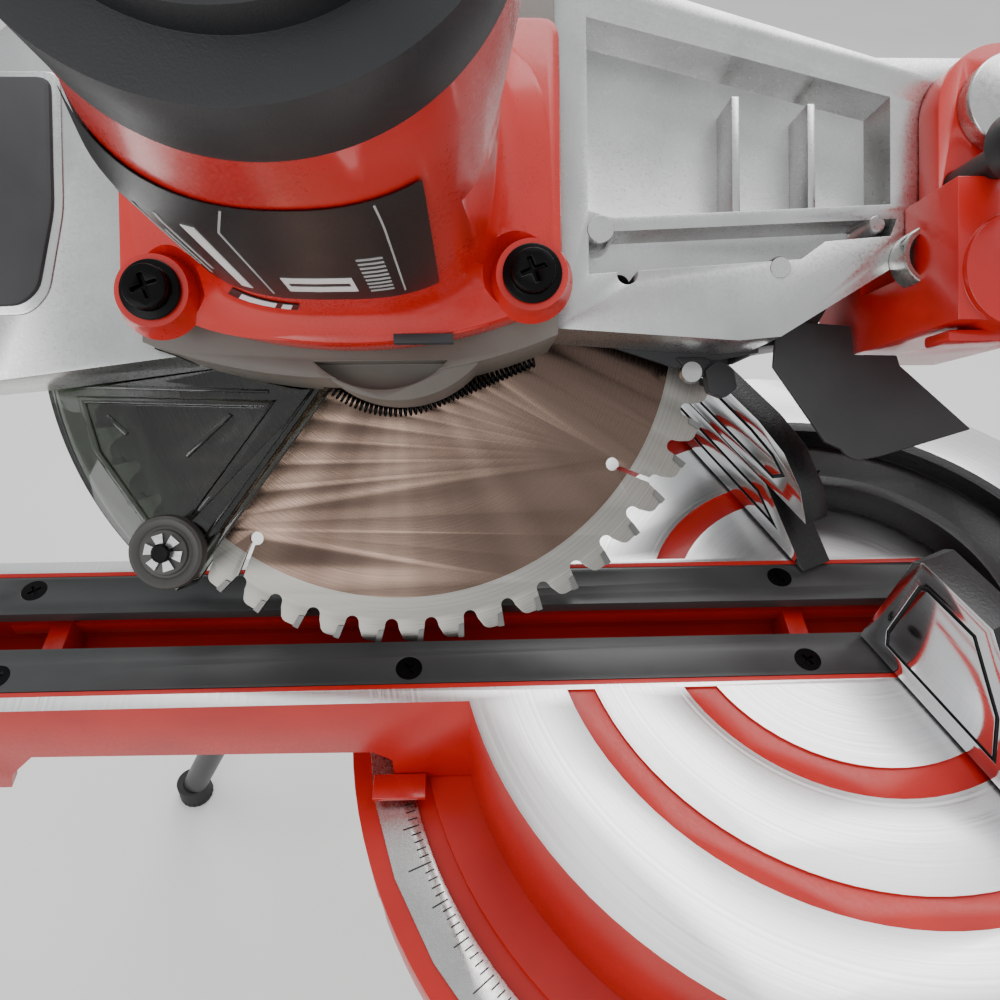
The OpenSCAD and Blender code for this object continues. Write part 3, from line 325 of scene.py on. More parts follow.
def machined_fence():
    """Bare metal on the face that meets the wood, and black wrinkle paint everywhere else."""
    tree, shader, coords = start("machined_fence", BASE)
    axes = add(tree, "ShaderNodeSeparateXYZ", {0: coords})
    to_wood = calc(tree, "LESS_THAN", facing(tree, "Y"), -0.8)
    bare = calc(tree, "MULTIPLY", to_wood, calc(tree, "LESS_THAN", axes.outputs["Y"], 0.3 * MM))
    marks = line_noise(tree, axes.outputs["Z"], 0.0007, 2.0)
    wrinkle = noise(tree, coords, 0.0011, 2.0)
    metal = blend_colours(tree, marks, "#D9DADB", "#EDEEEF")
    paint = blend_colours(tree, spread(tree, wrinkle, 0, 1), "#0D0D0E", "#1C1C1D")
    tree.links.new(blend_colours(tree, bare, paint, metal), shader.inputs["Base Color"])
    tree.links.new(bare, shader.inputs["Metallic"])
    gloss = add(tree, "ShaderNodeMix", {0: bare, 2: 0.42, 3: spread(tree, marks, 0.09, 0.15)})
    tree.links.new(gloss.outputs[0], shader.inputs["Roughness"])
    height = add(tree, "ShaderNodeMix", {0: bare, 2: calc(tree, "MULTIPLY", wrinkle, 60.0), 3: marks})
    relief(tree, shader, height.outputs[0], 0.000002)


machined_fence()
print(len(FINISHES), "finishes so far")


# %% [markdown]
# **Table top.** The casting is painted red all over and then faced, so the cutter takes the paint off
# the highest surface only. One material does both: whatever lies at the table's height and faces up is
# bare metal with rings round the turntable's centre, and the recessed bands, the walls and a thin rim
# along the kerf plates stay red.

# %% Painted casting with a machined top
def painted_and_faced(name, rings, rim):
    """Red powder coat, with bare metal where the cutter has passed."""
    tree, shader, coords = start(name, TABLE if rings else BASE, ior=1.5)
    axes = add(tree, "ShaderNodeSeparateXYZ", {0: coords})
    high = calc(tree, "GREATER_THAN", axes.outputs["Z"], -0.4 * MM)
    bare = calc(tree, "MULTIPLY", high, calc(tree, "GREATER_THAN", facing(tree, "Z"), 0.9))
    if rim:
        off_rim = calc(tree, "GREATER_THAN", calc(tree, "ABSOLUTE", axes.outputs["X"]), rim)
        bare = calc(tree, "MULTIPLY", bare, off_rim)
    blotch = noise(tree, coords, 0.03, 4.0)
    peel = noise(tree, coords, 0.0008, 2.0)
    if rings:
        flat = add(tree, "ShaderNodeCombineXYZ", {"X": axes.outputs["X"], "Y": axes.outputs["Y"]})
        where = add(tree, "ShaderNodeVectorMath", {0: flat.outputs[0]}, operation="LENGTH").outputs["Value"]
    else:
        where = axes.outputs["Y"]
    marks = line_noise(tree, where, 0.0009, 3.0)
    metal = blend_colours(tree, marks, "#E6E6E6", "#F6F6F5")
    paint = blend_colours(tree, spread(tree, blotch, 0, 1), "#B4150F", "#C62118")
    tree.links.new(blend_colours(tree, bare, paint, metal), shader.inputs["Base Color"])
    tree.links.new(bare, shader.inputs["Metallic"])
    gloss = add(tree, "ShaderNodeMix",
                {0: bare, 2: spread(tree, peel, 0.3, 0.42), 3: spread(tree, marks, 0.3, 0.42)})
    tree.links.new(gloss.outputs[0], shader.inputs["Roughness"])
    height = add(tree, "ShaderNodeMix", {0: bare, 2: calc(tree, "MULTIPLY", peel, 2.0), 3: marks})
    relief(tree, shader, height.outputs[0], 0.000005)


painted_and_faced("turntable_casting", True, 24.2 * MM)
painted_and_faced("base_casting", False, 0)

# %% [markdown]
# ** Saw blade.** The steel plate is ground flat and then polished in rings. The middle is lacquered,
# which makes it brownish, and the outer band, where the plate was ground again after its teeth were
# brazed on, is lighter and more matt. Fine rings round the arbor scatter the light in a fan, so bright
# wedges run from the middle to the rim. These wedges are painted highlight: the middle's colour turns
# lighter and darker brown with the angle round the arbor.

# %% Blade steel
POLISHED_R = 0.0898


def blade_steel():
    """Two zones of ground steel, split at the ring where the second grinding ends."""
    tree, shader, coords = start("blade_steel", HEAD, metallic=1.0, anisotropic=0.75)
    axes = add(tree, "ShaderNodeSeparateXYZ", {0: coords})
    flat = add(tree, "ShaderNodeCombineXYZ", {"Y": axes.outputs["Y"], "Z": axes.outputs["Z"]}).outputs[0]
    radius = add(tree, "ShaderNodeVectorMath", {0: flat}, operation="LENGTH").outputs["Value"]
    outer = calc(tree, "GREATER_THAN", radius, POLISHED_R)
    rings = line_noise(tree, radius, 0.0004, 4.0)
    turning = calc(tree, "ARCTAN2", axes.outputs["Z"], axes.outputs["Y"])
    # Painted highlight: light and dark wedges by the angle round the arbor, put into the lacquered middle's
    # colour.
    wedges = add(tree, "ShaderNodeTexNoise", {"W": turning, "Scale": 2.2, "Detail": 2.0},
                 noise_dimensions="1D").outputs[0]
    lacquer_and_painted_sheen = blend_colours(tree, spread(tree, wedges, 0, 1), "#5C4B43", "#8B7568")
    ground = blend_colours(tree, spread(tree, rings, 0, 1), "#A19E97", "#BDBAB3")
    tree.links.new(blend_colours(tree, outer, lacquer_and_painted_sheen, ground), shader.inputs["Base Color"])
    gloss = add(tree, "ShaderNodeMix",
                {0: outer, 2: spread(tree, rings, 0.2, 0.34), 3: spread(tree, rings, 0.42, 0.55)})
    tree.links.new(gloss.outputs[0], shader.inputs["Roughness"])
    round_arbor = add(tree, "ShaderNodeVectorMath", {0: tuple(ARBOR), 1: add(tree, "ShaderNodeVectorMath", {
        0: add(tree, "ShaderNodeTexCoord").outputs["Object"], 1: tuple(HEAD.translation),
    }, operation="SUBTRACT").outputs[0]}, operation="CROSS_PRODUCT")
    tangent = add(tree, "ShaderNodeVectorMath", {0: round_arbor.outputs[0]},
                  operation="NORMALIZE").outputs[0]
    tree.links.new(tangent, shader.inputs["Tangent"])
    relief(tree, shader, rings, 0.000004)


blade_steel()

# %% [markdown]
# **Smoked guard.** The lower guard is injection-moulded polycarbonate with a grey tint, clear enough to
# see the teeth through it. Light passes through, so the shader transmits, with polycarbonate's IOR of
# 1.58, and fine scratches from sawdust make it a little hazy.

# %% Polycarbonate
tree, shader, coords = start("smoked_polycarbonate", HEAD, ior=1.58, transmission_weight=1.0,
                             specular_ior_level=0.5)
haze = noise(tree, stretched(tree, coords, (1, 1, 0.25)), 0.004, 5.0, 0.7)
tree.links.new(blend_colours(tree, spread(tree, haze, 0, 1), "#6B7268", "#80867B"),
               shader.inputs["Base Color"])
tree.links.new(spread(tree, haze, 0.02, 0.07, 0.35, 0.75), shader.inputs["Roughness"])
print(len(FINISHES), "finishes:", ", ".join(sorted(FINISHES)))


# %% [markdown]
# ## Rounding the CAD pieces
# A real casting or moulding has no knife edge: its corners are rounded by about a millimetre, and they
# catch the light. A copy of each CAD piece is cleaned of its loose triangles, bevelled, and shown in
# place of the CAD node, which stays for collision. The shape and place don't change.

# %% Softened copies
def finished_mesh(piece, sharp_angle=38):
    """Turns the piece's modifiers into plain geometry and smooths what is meant to be round."""
    mesh = bpy.data.meshes.new_from_object(piece.evaluated_get(bpy.context.evaluated_depsgraph_get()))
    piece.modifiers.clear()
    piece.data = mesh
    mesh.shade_smooth()
    mesh.set_sharp_from_angle(angle=math.radians(sharp_angle))
    return piece


def bevelled(piece, edge, steps=2, sharp_angle=38):
    """Rounds the piece's sharp edges by edge millimetres."""
    bevel = piece.modifiers.new("round_edges", "BEVEL")
    bevel.width = edge * MM
    bevel.segments = steps
    bevel.limit_method = "ANGLE"
    bevel.angle_limit = math.radians(sharp_angle)
    return finished_mesh(piece, sharp_angle)


def new_piece(name, mesh, body, finish):
    """Links a piece at the origin, gives it its finish and lets it ride on its body."""
    piece = bpy.data.objects.new(name, mesh)
    bpy.context.scene.collection.objects.link(piece)
    mesh.materials.clear()
    mesh.materials.append(FINISHES[finish])
    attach(piece, body)
    return piece


BODY_OF = {node: body for body, nodes in frame["record"]["behaviour"]["bodies"].items() for node in nodes}


def softened(node, finish, edge):
    """A bevelled copy of a CAD node that stands for it. An edge of 0 leaves its corners as they are."""
    mesh = frame["nodes"][node].data.copy()
    work = bmesh.new()
    work.from_mesh(mesh)
    bmesh.ops.remove_doubles(work, verts=work.verts, dist=2e-6)
    bmesh.ops.dissolve_limit(work, angle_limit=math.radians(0.4), verts=work.verts, edges=work.edges)
    work.to_mesh(mesh)
    work.free()
    piece = new_piece(node + "_skin", mesh, BODY_OF[node], finish)
    if edge:
        bevelled(piece, edge)
    else:
        finished_mesh(piece)
    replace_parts(piece, node)


# %% [markdown]
# One table says what each CAD piece is made of and by how many millimetres its edges are rounded.
# Turned steel keeps its sharp rims, and castings are rounder than pressings. Five pieces are drawn anew
# further on.

# %% Finish and edge of every CAD piece
DRESS = {
    "red_powder_coat": {"mounting_brackets": 1.2, "bevel_arm": 1.5, "pivot_bracket": 1.5},
    "turntable_casting": {"turntable": 0.5},
    "base_casting": {"saw_base": 0.8},
    "machined_fence": {"fence": 0.4, "sliding_fence": 0.4},
    "die_cast_aluminium": {"head_arm": 1.0},
    "red_abs": {"trigger": 1.2, "mitre_pointer": 0.3},
    "grey_nylon": {"gear_housing": 1.6, "lockoff_button": 0.8},
    "satin_black_abs": {"kerf_plate_left": 0.5, "kerf_plate_right": 0.5},
    "black_nylon": {
        "left_bracket_lever": 1.0, "right_bracket_lever": 1.0, "left_extension_knob": 1.0,
        "right_extension_knob": 1.0, "sliding_fence_knob": 0.8, "mitre_handle": 1.5, "detent_lever": 0.8,
        "bevel_lock_lever": 1.0, "slide_lock_knob": 1.0, "rail_end_cap": 1.5, "lock_pin": 0.8,
        "upper_guard": 0.8, "motor_end_cap": 1.2, "main_handle": 0.6, "clamp_screw": 0.6},
    "black_rubber": {"left_leg_feet": 1.0, "right_leg_feet": 1.0, "left_support_roller": 0.8,
                     "right_support_roller": 0.8, "clamp_pad": 0.8},
    "stand_powder_coat": {
        "stand_beams": 1.0, "left_leg_tubes": 0.0, "right_leg_tubes": 0.0, "left_leg_braces": 0.0,
        "right_leg_braces": 0.0, "left_extension_arm": 1.0, "right_extension_arm": 1.0},
    "zinc_plated_steel": {"saw_mount_bolts": 0.4, "leg_pivot_bolts": 0.4, "mitre_scale": 0.1,
                          "clamp_post": 0.5, "chop_pivot_pin": 0.5, "blade_flanges": 0.4},
    "hard_chrome": {"slide_rails": 0.5},
    "turned_steel": {"arbor_shaft": 0.0},
    "copper_winding": {"armature": 0.0, "motor_stator": 0.3},
    "smoked_polycarbonate": {"lower_guard": 0.4},
    "black_oxide_steel": {"motor_screws": 0.3, "kerf_plate_screws": 0.0}}
for finish, nodes in DRESS.items():
    for node, edge in nodes.items():
        softened(node, finish, edge)
REDRAWN = {"motor_housing", "blade", "guard_spring", "guard_roller", "dust_flap"}
dressed = {node for nodes in DRESS.values() for node in nodes}
undressed = sorted(set(frame["nodes"]) - dressed - REDRAWN)
print("all CAD pieces are dressed" if not undressed else f"still bare: {undressed}")

# %% [markdown]
# ## Helpers for detail
# Details are drawn in millimetres in the tilted frame they belong to, and then moved into the room. An
# outline is pulled into a plate, and a profile is turned into a round piece. Both come back as closed
# meshes whose faces point outwards, with their edges rounded.

# %% Plates and turned pieces
def placed_mesh(name, work, place):
    """Closes a bmesh drawn in millimetres, moves it to its place in metres and makes a mesh of it."""
    bmesh.ops.remove_doubles(work, verts=work.verts, dist=1e-4)
    bmesh.ops.recalc_face_normals(work, faces=work.faces)
    mesh = bpy.data.meshes.new(name)
    work.to_mesh(mesh)
    work.free()
    mesh.transform(place @ Matrix.Scale(MM, 4))
    return mesh


def add_plate(work, outline, low, high, flat=False):
    """A plate. Its outline is in (y, z) and it is thick along x. A flat one uses (x, y) and z."""
    rings = [[work.verts.new((a, b, t) if flat else (t, a, b)) for a, b in outline] for t in (low, high)]
    count = len(outline)
    for i in range(count):
        j = (i + 1) % count
        work.faces.new((rings[0][i], rings[0][j], rings[1][j], rings[1][i]))
    work.faces.new(rings[0])
    work.faces.new(rings[1])


def add_turned(work, profile, centre=(0, 0), steps=48):
    """A round piece about an axis along x. The profile is (x, radius) from end to end."""
    rings = []
    for x, radius in profile:
        if radius == 0:
            rings.append([work.verts.new((x, *centre))])
        else:
            turns = [2 * math.pi * i / steps for i in range(steps)]
            rings.append([work.verts.new((x, centre[0] + radius * math.cos(t),
                                          centre[1] + radius * math.sin(t)))
                          for t in turns])
    for first, second in zip(rings, rings[1:]):
        for i in range(steps):
            j = (i + 1) % steps
            corners = [first[i % len(first)], first[j % len(first)], second[j % len(second)],
                       second[i % len(second)]]
            work.faces.new(list(dict.fromkeys(corners)))


def curve_points(centre, radius, start_angle, end_angle, steps=12):
    """Points along an arc, angles in degrees."""
    angles = [math.radians(start_angle + (end_angle - start_angle) * i / steps) for i in range(steps + 1)]
    return [(centre[0] + radius * math.cos(a), centre[1] + radius * math.sin(a)) for a in angles]


def rounded(points, radius, steps=4):
    """An outline with its corners rounded by short curves."""
    outline = []
    for before, here, after in zip(points[-1:] + points[:-1], points, points[1:] + points[:1]):
        here_v = Vector(here)
        arms = [Vector(other) - here_v for other in (before, after)]
        cut = min(radius, arms[0].length * 0.45, arms[1].length * 0.45)
        ends = [here_v + arm.normalized() * cut for arm in arms]
        for i in range(steps + 1):
            t = i / steps
            outline.append(tuple(ends[0] * (1 - t) ** 2 + here_v * (2 * t * (1 - t)) + ends[1] * t ** 2))
    return outline


def plate_piece(name, outlines, body, finish, place=HEAD, edge=0.4, flat=False):
    """A piece made of one or more plates, each an (outline, low, high)."""
    work = bmesh.new()
    for outline, low, high in outlines:
        add_plate(work, outline, low, high, flat)
    return bevelled(new_piece(name, placed_mesh(name, work, place), body, finish), edge)


def turned_piece(name, profile, centre, body, finish, place=HEAD, edge=0.0, steps=64):
    """One turned piece."""
    work = bmesh.new()
    add_turned(work, profile, centre, steps)
    piece = new_piece(name, placed_mesh(name, work, place), body, finish)
    return bevelled(piece, edge) if edge else finished_mesh(piece, 30)


def box_outline(y, z, half_y, half_z):
    return [(y - half_y, z - half_z), (y + half_y, z - half_z), (y + half_y, z + half_z),
            (y - half_y, z + half_z)]


# %% [markdown]
# ## Geometry Nodes for what repeats
# Three small trees make everything that repeats: copies on marked points, copies in a ring, and a wire
# coil that follows an arc. Each has named inputs for its sizes. The result is turned into a plain mesh
# before it rides on a body, because the export keeps meshes, not instances.

# %% Growing a piece with a node tree
def node_tree(name, inputs):
    """A geometry tree with named inputs. Returns it, its input node and a function that ends it."""
    tree = bpy.data.node_groups.new(name, "GeometryNodeTree")
    tree.interface.new_socket("Geometry", in_out="INPUT", socket_type="NodeSocketGeometry")
    for socket_name, kind in inputs.items():
        tree.interface.new_socket(socket_name, in_out="INPUT", socket_type="NodeSocket" + kind)
    tree.interface.new_socket("Geometry", in_out="OUTPUT", socket_type="NodeSocketGeometry")
    given = add(tree, "NodeGroupInput")

    def end(geometry):
        real = add(tree, "GeometryNodeRealizeInstances", {0: geometry}).outputs[0]
        dressed = add(tree, "GeometryNodeSetMaterial",
                      {"Geometry": real, "Material": given.outputs["Finish"]})
        add(tree, "NodeGroupOutput", {0: dressed.outputs[0]})

    return tree, given, end


def grow(name, tree, values, body, finish, place=HEAD, marks=((0, 0, 0),), sharp_angle=38):
    """Runs a tree on marked points given in millimetres and keeps the result as a plain mesh."""
    host = bpy.data.meshes.new(name)
    host.from_pydata([tuple(mark) for mark in marks], [], [])
    piece = bpy.data.objects.new(name, host)
    bpy.context.scene.collection.objects.link(piece)
    modifier = piece.modifiers.new("grow", "NODES")
    modifier.node_group = tree
    ids = {item.name: item.identifier for item in tree.interface.items_tree if item.in_out == "INPUT"}
    for key, value in {**values, "Finish": FINISHES[finish]}.items():
        modifier[ids[key]] = value
    piece.update_tag()
    mesh = bpy.data.meshes.new_from_object(piece.evaluated_get(bpy.context.evaluated_depsgraph_get()))
    piece.modifiers.clear()
    mesh.transform(place @ Matrix.Scale(MM, 4))
    mesh.name = name
    piece.data = mesh
    mesh.shade_smooth()
    mesh.set_sharp_from_angle(angle=math.radians(sharp_angle))
    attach(piece, body)
    return piece


def copies_tree():
    """A copy of one shape on every marked point, all turned the same way."""
    tree, given, end = node_tree("copies_on_points",
                                 {"Shape": "Object", "Turn": "Vector", "Finish": "Material"})
    shape = add(tree, "GeometryNodeObjectInfo", {"Object": given.outputs["Shape"]})
    points = add(tree, "GeometryNodeMeshToPoints", {"Mesh": given.outputs["Geometry"]})
    turn = add(tree, "FunctionNodeEulerToRotation", {0: given.outputs["Turn"]})
    placed = add(tree, "GeometryNodeInstanceOnPoints", {
        "Points": points.outputs[0], "Instance": shape.outputs["Geometry"], "Rotation": turn.outputs[0],
    })
    end(placed.outputs[0])
    return tree


def ring_tree():
    """Copies in a ring about the X axis, each turned with its place."""
    tree, given, end = node_tree("copies_in_a_ring", {
        "Shape": "Object", "Count": "Int", "Start": "Float", "Step": "Float", "Centre": "Vector",
        "Finish": "Material",
    })
    shape = add(tree, "GeometryNodeObjectInfo", {"Object": given.outputs["Shape"]})
    line = add(tree, "GeometryNodeMeshLine", {"Count": given.outputs["Count"], "Offset": (0, 0, 0),
                                              "Start Location": given.outputs["Centre"]})
    place = add(tree, "GeometryNodeInputIndex")
    angle = add(tree, "ShaderNodeMath",
                {0: place.outputs[0], 1: given.outputs["Step"], 2: given.outputs["Start"]},
                operation="MULTIPLY_ADD")
    euler = add(tree, "ShaderNodeCombineXYZ", {"X": angle.outputs[0]})
    turn = add(tree, "FunctionNodeEulerToRotation", {0: euler.outputs[0]})
    placed = add(tree, "GeometryNodeInstanceOnPoints", {
        "Points": line.outputs[0], "Instance": shape.outputs["Geometry"], "Rotation": turn.outputs[0],
    })
    end(placed.outputs[0])
    return tree


def coil_tree():
    """A wire wound along an arc about the X axis, and then along the arc's tangent."""
    tree, given, end = node_tree("coil_on_an_arc", {
        "Turns": "Float", "Arc Radius": "Float", "Start": "Float", "Sweep": "Float", "Tail": "Float",
        "Coil Radius": "Float", "Wire Radius": "Float", "Points": "Int", "Finish": "Material",
    })
    index = add(tree, "GeometryNodeInputIndex").outputs[0]
    last = add(tree, "ShaderNodeMath", {0: given.outputs["Points"], 1: 1.0},
               operation="SUBTRACT").outputs[0]
    along = add(tree, "ShaderNodeMath", {0: index, 1: last}, operation="DIVIDE").outputs[0]
    arc_length = calc(tree, "MULTIPLY", given.outputs["Arc Radius"], given.outputs["Sweep"])
    travelled = calc(tree, "MULTIPLY", along, calc(tree, "ADD", arc_length, given.outputs["Tail"]))
    on_arc = calc(tree, "MINIMUM", travelled, arc_length)
    beyond = calc(tree, "SUBTRACT", travelled, on_arc)
    angle = calc(tree, "ADD", given.outputs["Start"],
                 calc(tree, "DIVIDE", on_arc, given.outputs["Arc Radius"]))
    winding = calc(tree, "MULTIPLY", calc(tree, "MULTIPLY", along, given.outputs["Turns"]), 2 * math.pi)
    side = calc(tree, "MULTIPLY", given.outputs["Coil Radius"], calc(tree, "SINE", winding))
    out = calc(tree, "MULTIPLY", given.outputs["Coil Radius"], calc(tree, "COSINE", winding))
    reach = calc(tree, "ADD", given.outputs["Arc Radius"], out)
    cosine, sine = calc(tree, "COSINE", angle), calc(tree, "SINE", angle)
    y = calc(tree, "SUBTRACT", calc(tree, "MULTIPLY", reach, cosine), calc(tree, "MULTIPLY", beyond, sine))
    z = calc(tree, "ADD", calc(tree, "MULTIPLY", reach, sine), calc(tree, "MULTIPLY", beyond, cosine))
    position = add(tree, "ShaderNodeCombineXYZ", {"X": side, "Y": y, "Z": z}).outputs[0]
    line = add(tree, "GeometryNodeMeshLine",
               {"Count": given.outputs["Points"], "Offset": (0, 0, 0)}).outputs[0]
    bent = add(tree, "GeometryNodeSetPosition", {"Geometry": line, "Position": position}).outputs[0]
    wire = add(tree, "GeometryNodeMeshToCurve", {0: bent}).outputs[0]
    section = add(tree, "GeometryNodeCurvePrimitiveCircle",
                  {"Resolution": 6, "Radius": given.outputs["Wire Radius"]})
    tube = add(tree, "GeometryNodeCurveToMesh",
               {"Curve": wire, "Profile Curve": section.outputs[0], "Fill Caps": True})
    end(tube.outputs[0])
    return tree


COPIES, RING, COIL = copies_tree(), ring_tree(), coil_tree()
print("node trees:", COPIES.name, RING.name, COIL.name)


# %% [markdown]
# **Masters.** A shape that repeats is made once, as a master that is never shown itself. The trees then
# set copies of it wherever they are needed.

# %% Making a master
def master(name, build):
    """A shape drawn in millimetres round its own origin, which is copied but never shown itself."""
    work = bmesh.new()
    build(work)
    bmesh.ops.remove_doubles(work, verts=work.verts, dist=1e-4)
    bmesh.ops.recalc_face_normals(work, faces=work.faces)
    mesh = bpy.data.meshes.new(name)
    work.to_mesh(mesh)
    work.free()
    return bpy.data.objects.new(name, mesh)


# %% [markdown]
# ## Blade
# A saw blade is laser cut from sheet steel, and its carbide teeth are brazed into small seats. Each
# gullet has a steep face below the tip, a round floor and a long sloping back. Four of the gullets run
# on as slots, so that the rim can grow when it is hot. The whole outline is one loop of points, so the
# plate stays thin and exact.

# %% Blade plate and its carbide tips
RIM, TEETH, TOOTH_TURN, PLATE_HALF, CUT_HALF = 105.0, 48, 281.0, 0.9, 1.4


def tooth_points(slotted):
    """One pitch of the outline: (radius, run along the rim), from a tip to the next one."""
    points = [(RIM - 0.5, 0.0), (RIM - 4.6, 0.75), (RIM - 5.9, 1.0)]
    floor = [(RIM - 6.1 - 2.15 * math.cos(math.radians(a)), 3.15 + 2.15 * math.sin(math.radians(a)))
             for a in range(-80, 81, 16)]
    if slotted:
        hole = [(RIM - 21 - 2.2 * math.cos(math.radians(a)), -2.2 * math.sin(math.radians(a)))
                for a in range(166, -167, -20)]
        floor = floor[:3] + [(RIM - 18.9, -0.75)] + hole + [(RIM - 18.9, 0.75)] + floor[5:]
    return points + floor + [(RIM - 5.0, 5.6), (RIM - 2.2, 7.0), (RIM - 1.2, 7.9), (RIM - 0.8, 8.9),
                             (RIM - 0.6, 11.4)]


def blade_outline():
    outline = []
    for tooth in range(TEETH):
        angle = math.radians(TOOTH_TURN + tooth * 360 / TEETH)
        for radius, run in tooth_points(slotted=tooth % 12 == 6):
            if run > 7.5:
                turn = angle + run / RIM
                outline.append((radius * math.cos(turn), radius * math.sin(turn)))
            else:
                outline.append((radius * math.cos(angle) - run * math.sin(angle),
                                radius * math.sin(angle) + run * math.cos(angle)))
    return outline


plate = plate_piece("blade_plate", [(blade_outline(), -PLATE_HALF, PLATE_HALF)], "spindle",
                    "blade_steel", edge=0.08)
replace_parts(plate, "blade")
tip = master("carbide_tip", lambda work: add_plate(work, [
    (RIM - 4.5, 0.75), (RIM, -0.12), (RIM - 0.3, -2.0), (RIM - 4.2, -1.1)], -CUT_HALF, CUT_HALF))
tips = grow("carbide_tips", RING, {
    "Shape": tip, "Count": TEETH, "Centre": (0, 0, 0),
    "Start": math.radians(TOOTH_TURN), "Step": 2 * math.pi / TEETH,
}, "spindle", "sintered_carbide")
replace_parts(tips, "blade")


def strip(start, end, width):
    """The outline of a straight rib from start to end in (y, z)."""
    across = Vector((start[1] - end[1], end[0] - start[0])).normalized() * width / 2
    corners = [Vector(start) + across, Vector(start) - across, Vector(end) - across, Vector(end) + across]
    return [tuple(corner) for corner in corners]


plate_piece("guard_ribs", [
    (strip((-21, -22), (-62.5, -78), 1.6), 9.4, 10.9), (strip((-26, -22), (-66, -75.5), 1.0), 9.4, 10.5),
    (strip((-40, -23), (-97, -21), 1.2), 9.4, 10.6), (strip((-52, -30), (-66, -43), 1.4), 9.4, 10.6),
    (strip((-90, -30), (-84, -36), 1.4), 9.4, 10.6),
], "guard", "smoked_polycarbonate", edge=0.35)
print("blade outline:", len(blade_outline()), "points")


# %% [markdown]
# ## Motor housing
# The red shell is one ABS moulding: a flat flange on the gear housing, a shoulder that sweeps up from
# it, and a nearly square barrel that turns round towards the vented end. Each cross-section is a
# superellipse, so one formula gives the whole loft. The shoulder is scooped out round the two screws,
# so that a screwdriver can reach them.

# %% Barrel of the motor housing
MOTOR_AXIS = tuple((HEAD.inverted() @ Vector(JOINTS["motor_spin"]["pos_m"]))[i] / MM for i in (1, 2))
FLANGE_X, SEAT_X, MOTOR_END = 48.0, 60.0, 160.0
SCREW_AT = [(-54.6, -4.5), (38.7, -1.0)]
# Sections of the barrel: x, centre y, centre z, half width, half height, squareness
SECTIONS = [
    (SEAT_X - 1, -9, 26, 55, 42, 3.2), (SEAT_X + 0.6, -9, 26, 52, 40, 3.2),
    (SEAT_X + 3, -9, 26, 46, 37, 3.0), (SEAT_X + 7, -8.6, 25, 40.5, 34.8, 2.9),
    (SEAT_X + 13, -8, 24.5, 37.6, 34.2, 2.8), (128, -7.5, 24.5, 37, 34, 2.7),
    (148, *MOTOR_AXIS, 36.4, 36.4, 2.1), (MOTOR_END, *MOTOR_AXIS, 36, 36, 2.0),
]


def section_at(x):
    """The barrel's cross-section at any place along it."""
    for first, second in zip(SECTIONS, SECTIONS[1:]):
        if first[0] <= x <= second[0]:
            t = (x - first[0]) / (second[0] - first[0])
            return [a + (b - a) * t for a, b in zip(first[1:], second[1:])]
    return SECTIONS[-1][1:]


def on_barrel(x, angle, lift=0.0):
    """A point on the barrel's surface, lifted off it by lift millimetres."""
    cy, cz, half_y, half_z, square = section_at(x)
    c, s = math.cos(angle), math.sin(angle)
    y = math.copysign(abs(c) ** (2 / square), c) * (half_y + lift)
    z = math.copysign(abs(s) ** (2 / square), s) * (half_z + lift)
    return (x, cy + y, cz + z)


def motor_barrel():
    """The loft through all sections, with scoops cut round the screws."""
    work = bmesh.new()
    steps, places = 96, [s[0] for s in SECTIONS]
    rings = [[work.verts.new(on_barrel(x, 2 * math.pi * i / steps)) for i in range(steps)] for x in places]
    for first, second in zip(rings, rings[1:]):
        for i in range(steps):
            j = (i + 1) % steps
            work.faces.new((first[i], first[j], second[j], second[i]))
    work.faces.new(rings[0])
    work.faces.new(rings[-1])
    barrel = new_piece("motor_barrel", placed_mesh("motor_barrel", work, HEAD), "head", "red_abs")
    cutters = []
    for number, centre in enumerate(SCREW_AT):
        cutter_work = bmesh.new()
        add_turned(cutter_work, [(SEAT_X + 0.6, 0), (SEAT_X + 0.6, 10), (SEAT_X + 3, 12), (SEAT_X + 60, 17),
                                 (SEAT_X + 60, 0)], centre, 48)
        cutter = bpy.data.objects.new("scoop", placed_mesh("scoop", cutter_work, HEAD))
        bpy.context.scene.collection.objects.link(cutter)
        cut = barrel.modifiers.new(f"scoop_{number}", "BOOLEAN")
        cut.operation, cut.solver, cut.object = "DIFFERENCE", "EXACT", cutter
        cutters.append(cutter)
    bevelled(barrel, 1.2, 3, 40)
    for cutter in cutters:
        bpy.data.objects.remove(cutter)
    return barrel


barrel = motor_barrel()
flange_curve = curve_points((-7, 110), 127, 242.8, 295.2, 24)
flange = plate_piece("motor_flange",
                     [(rounded([(-65, 66)] + flange_curve + [(47, 66)], 5), FLANGE_X, SEAT_X)],
                     "head", "red_abs", edge=1.6)
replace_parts(flange, "motor_housing")
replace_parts(barrel, "motor_housing")
for number, centre in enumerate(SCREW_AT):
    turned_piece(f"screw_boss_{number}", [
        (SEAT_X - 1, 0), (SEAT_X - 1, 11), (SEAT_X + 1, 10.2), (SEAT_X + 3, 9.4), (SEAT_X + 6, 9.0),
        (SEAT_X + 6, 0)], centre, "head", "red_abs")
# Painted shade: a thin dark plate, barely proud of the flange's face, stands for the shaded notch.
plate_piece("flange_notch", [(box_outline(11.2, -15.6, 7.6, 1.2), SEAT_X - 3, SEAT_X + 0.15)],
            "head", "recess_painted_shade", edge=0.1)
print("motor barrel:", len(barrel.data.polygons), "faces")

# %% [markdown]
# **Rating label.** A dark foil is glued to the barrel, so it is made as a thin foil that follows the
# same formula, half a millimetre proud. Its marks are plain bars that stand for lines of print, with no
# letters.

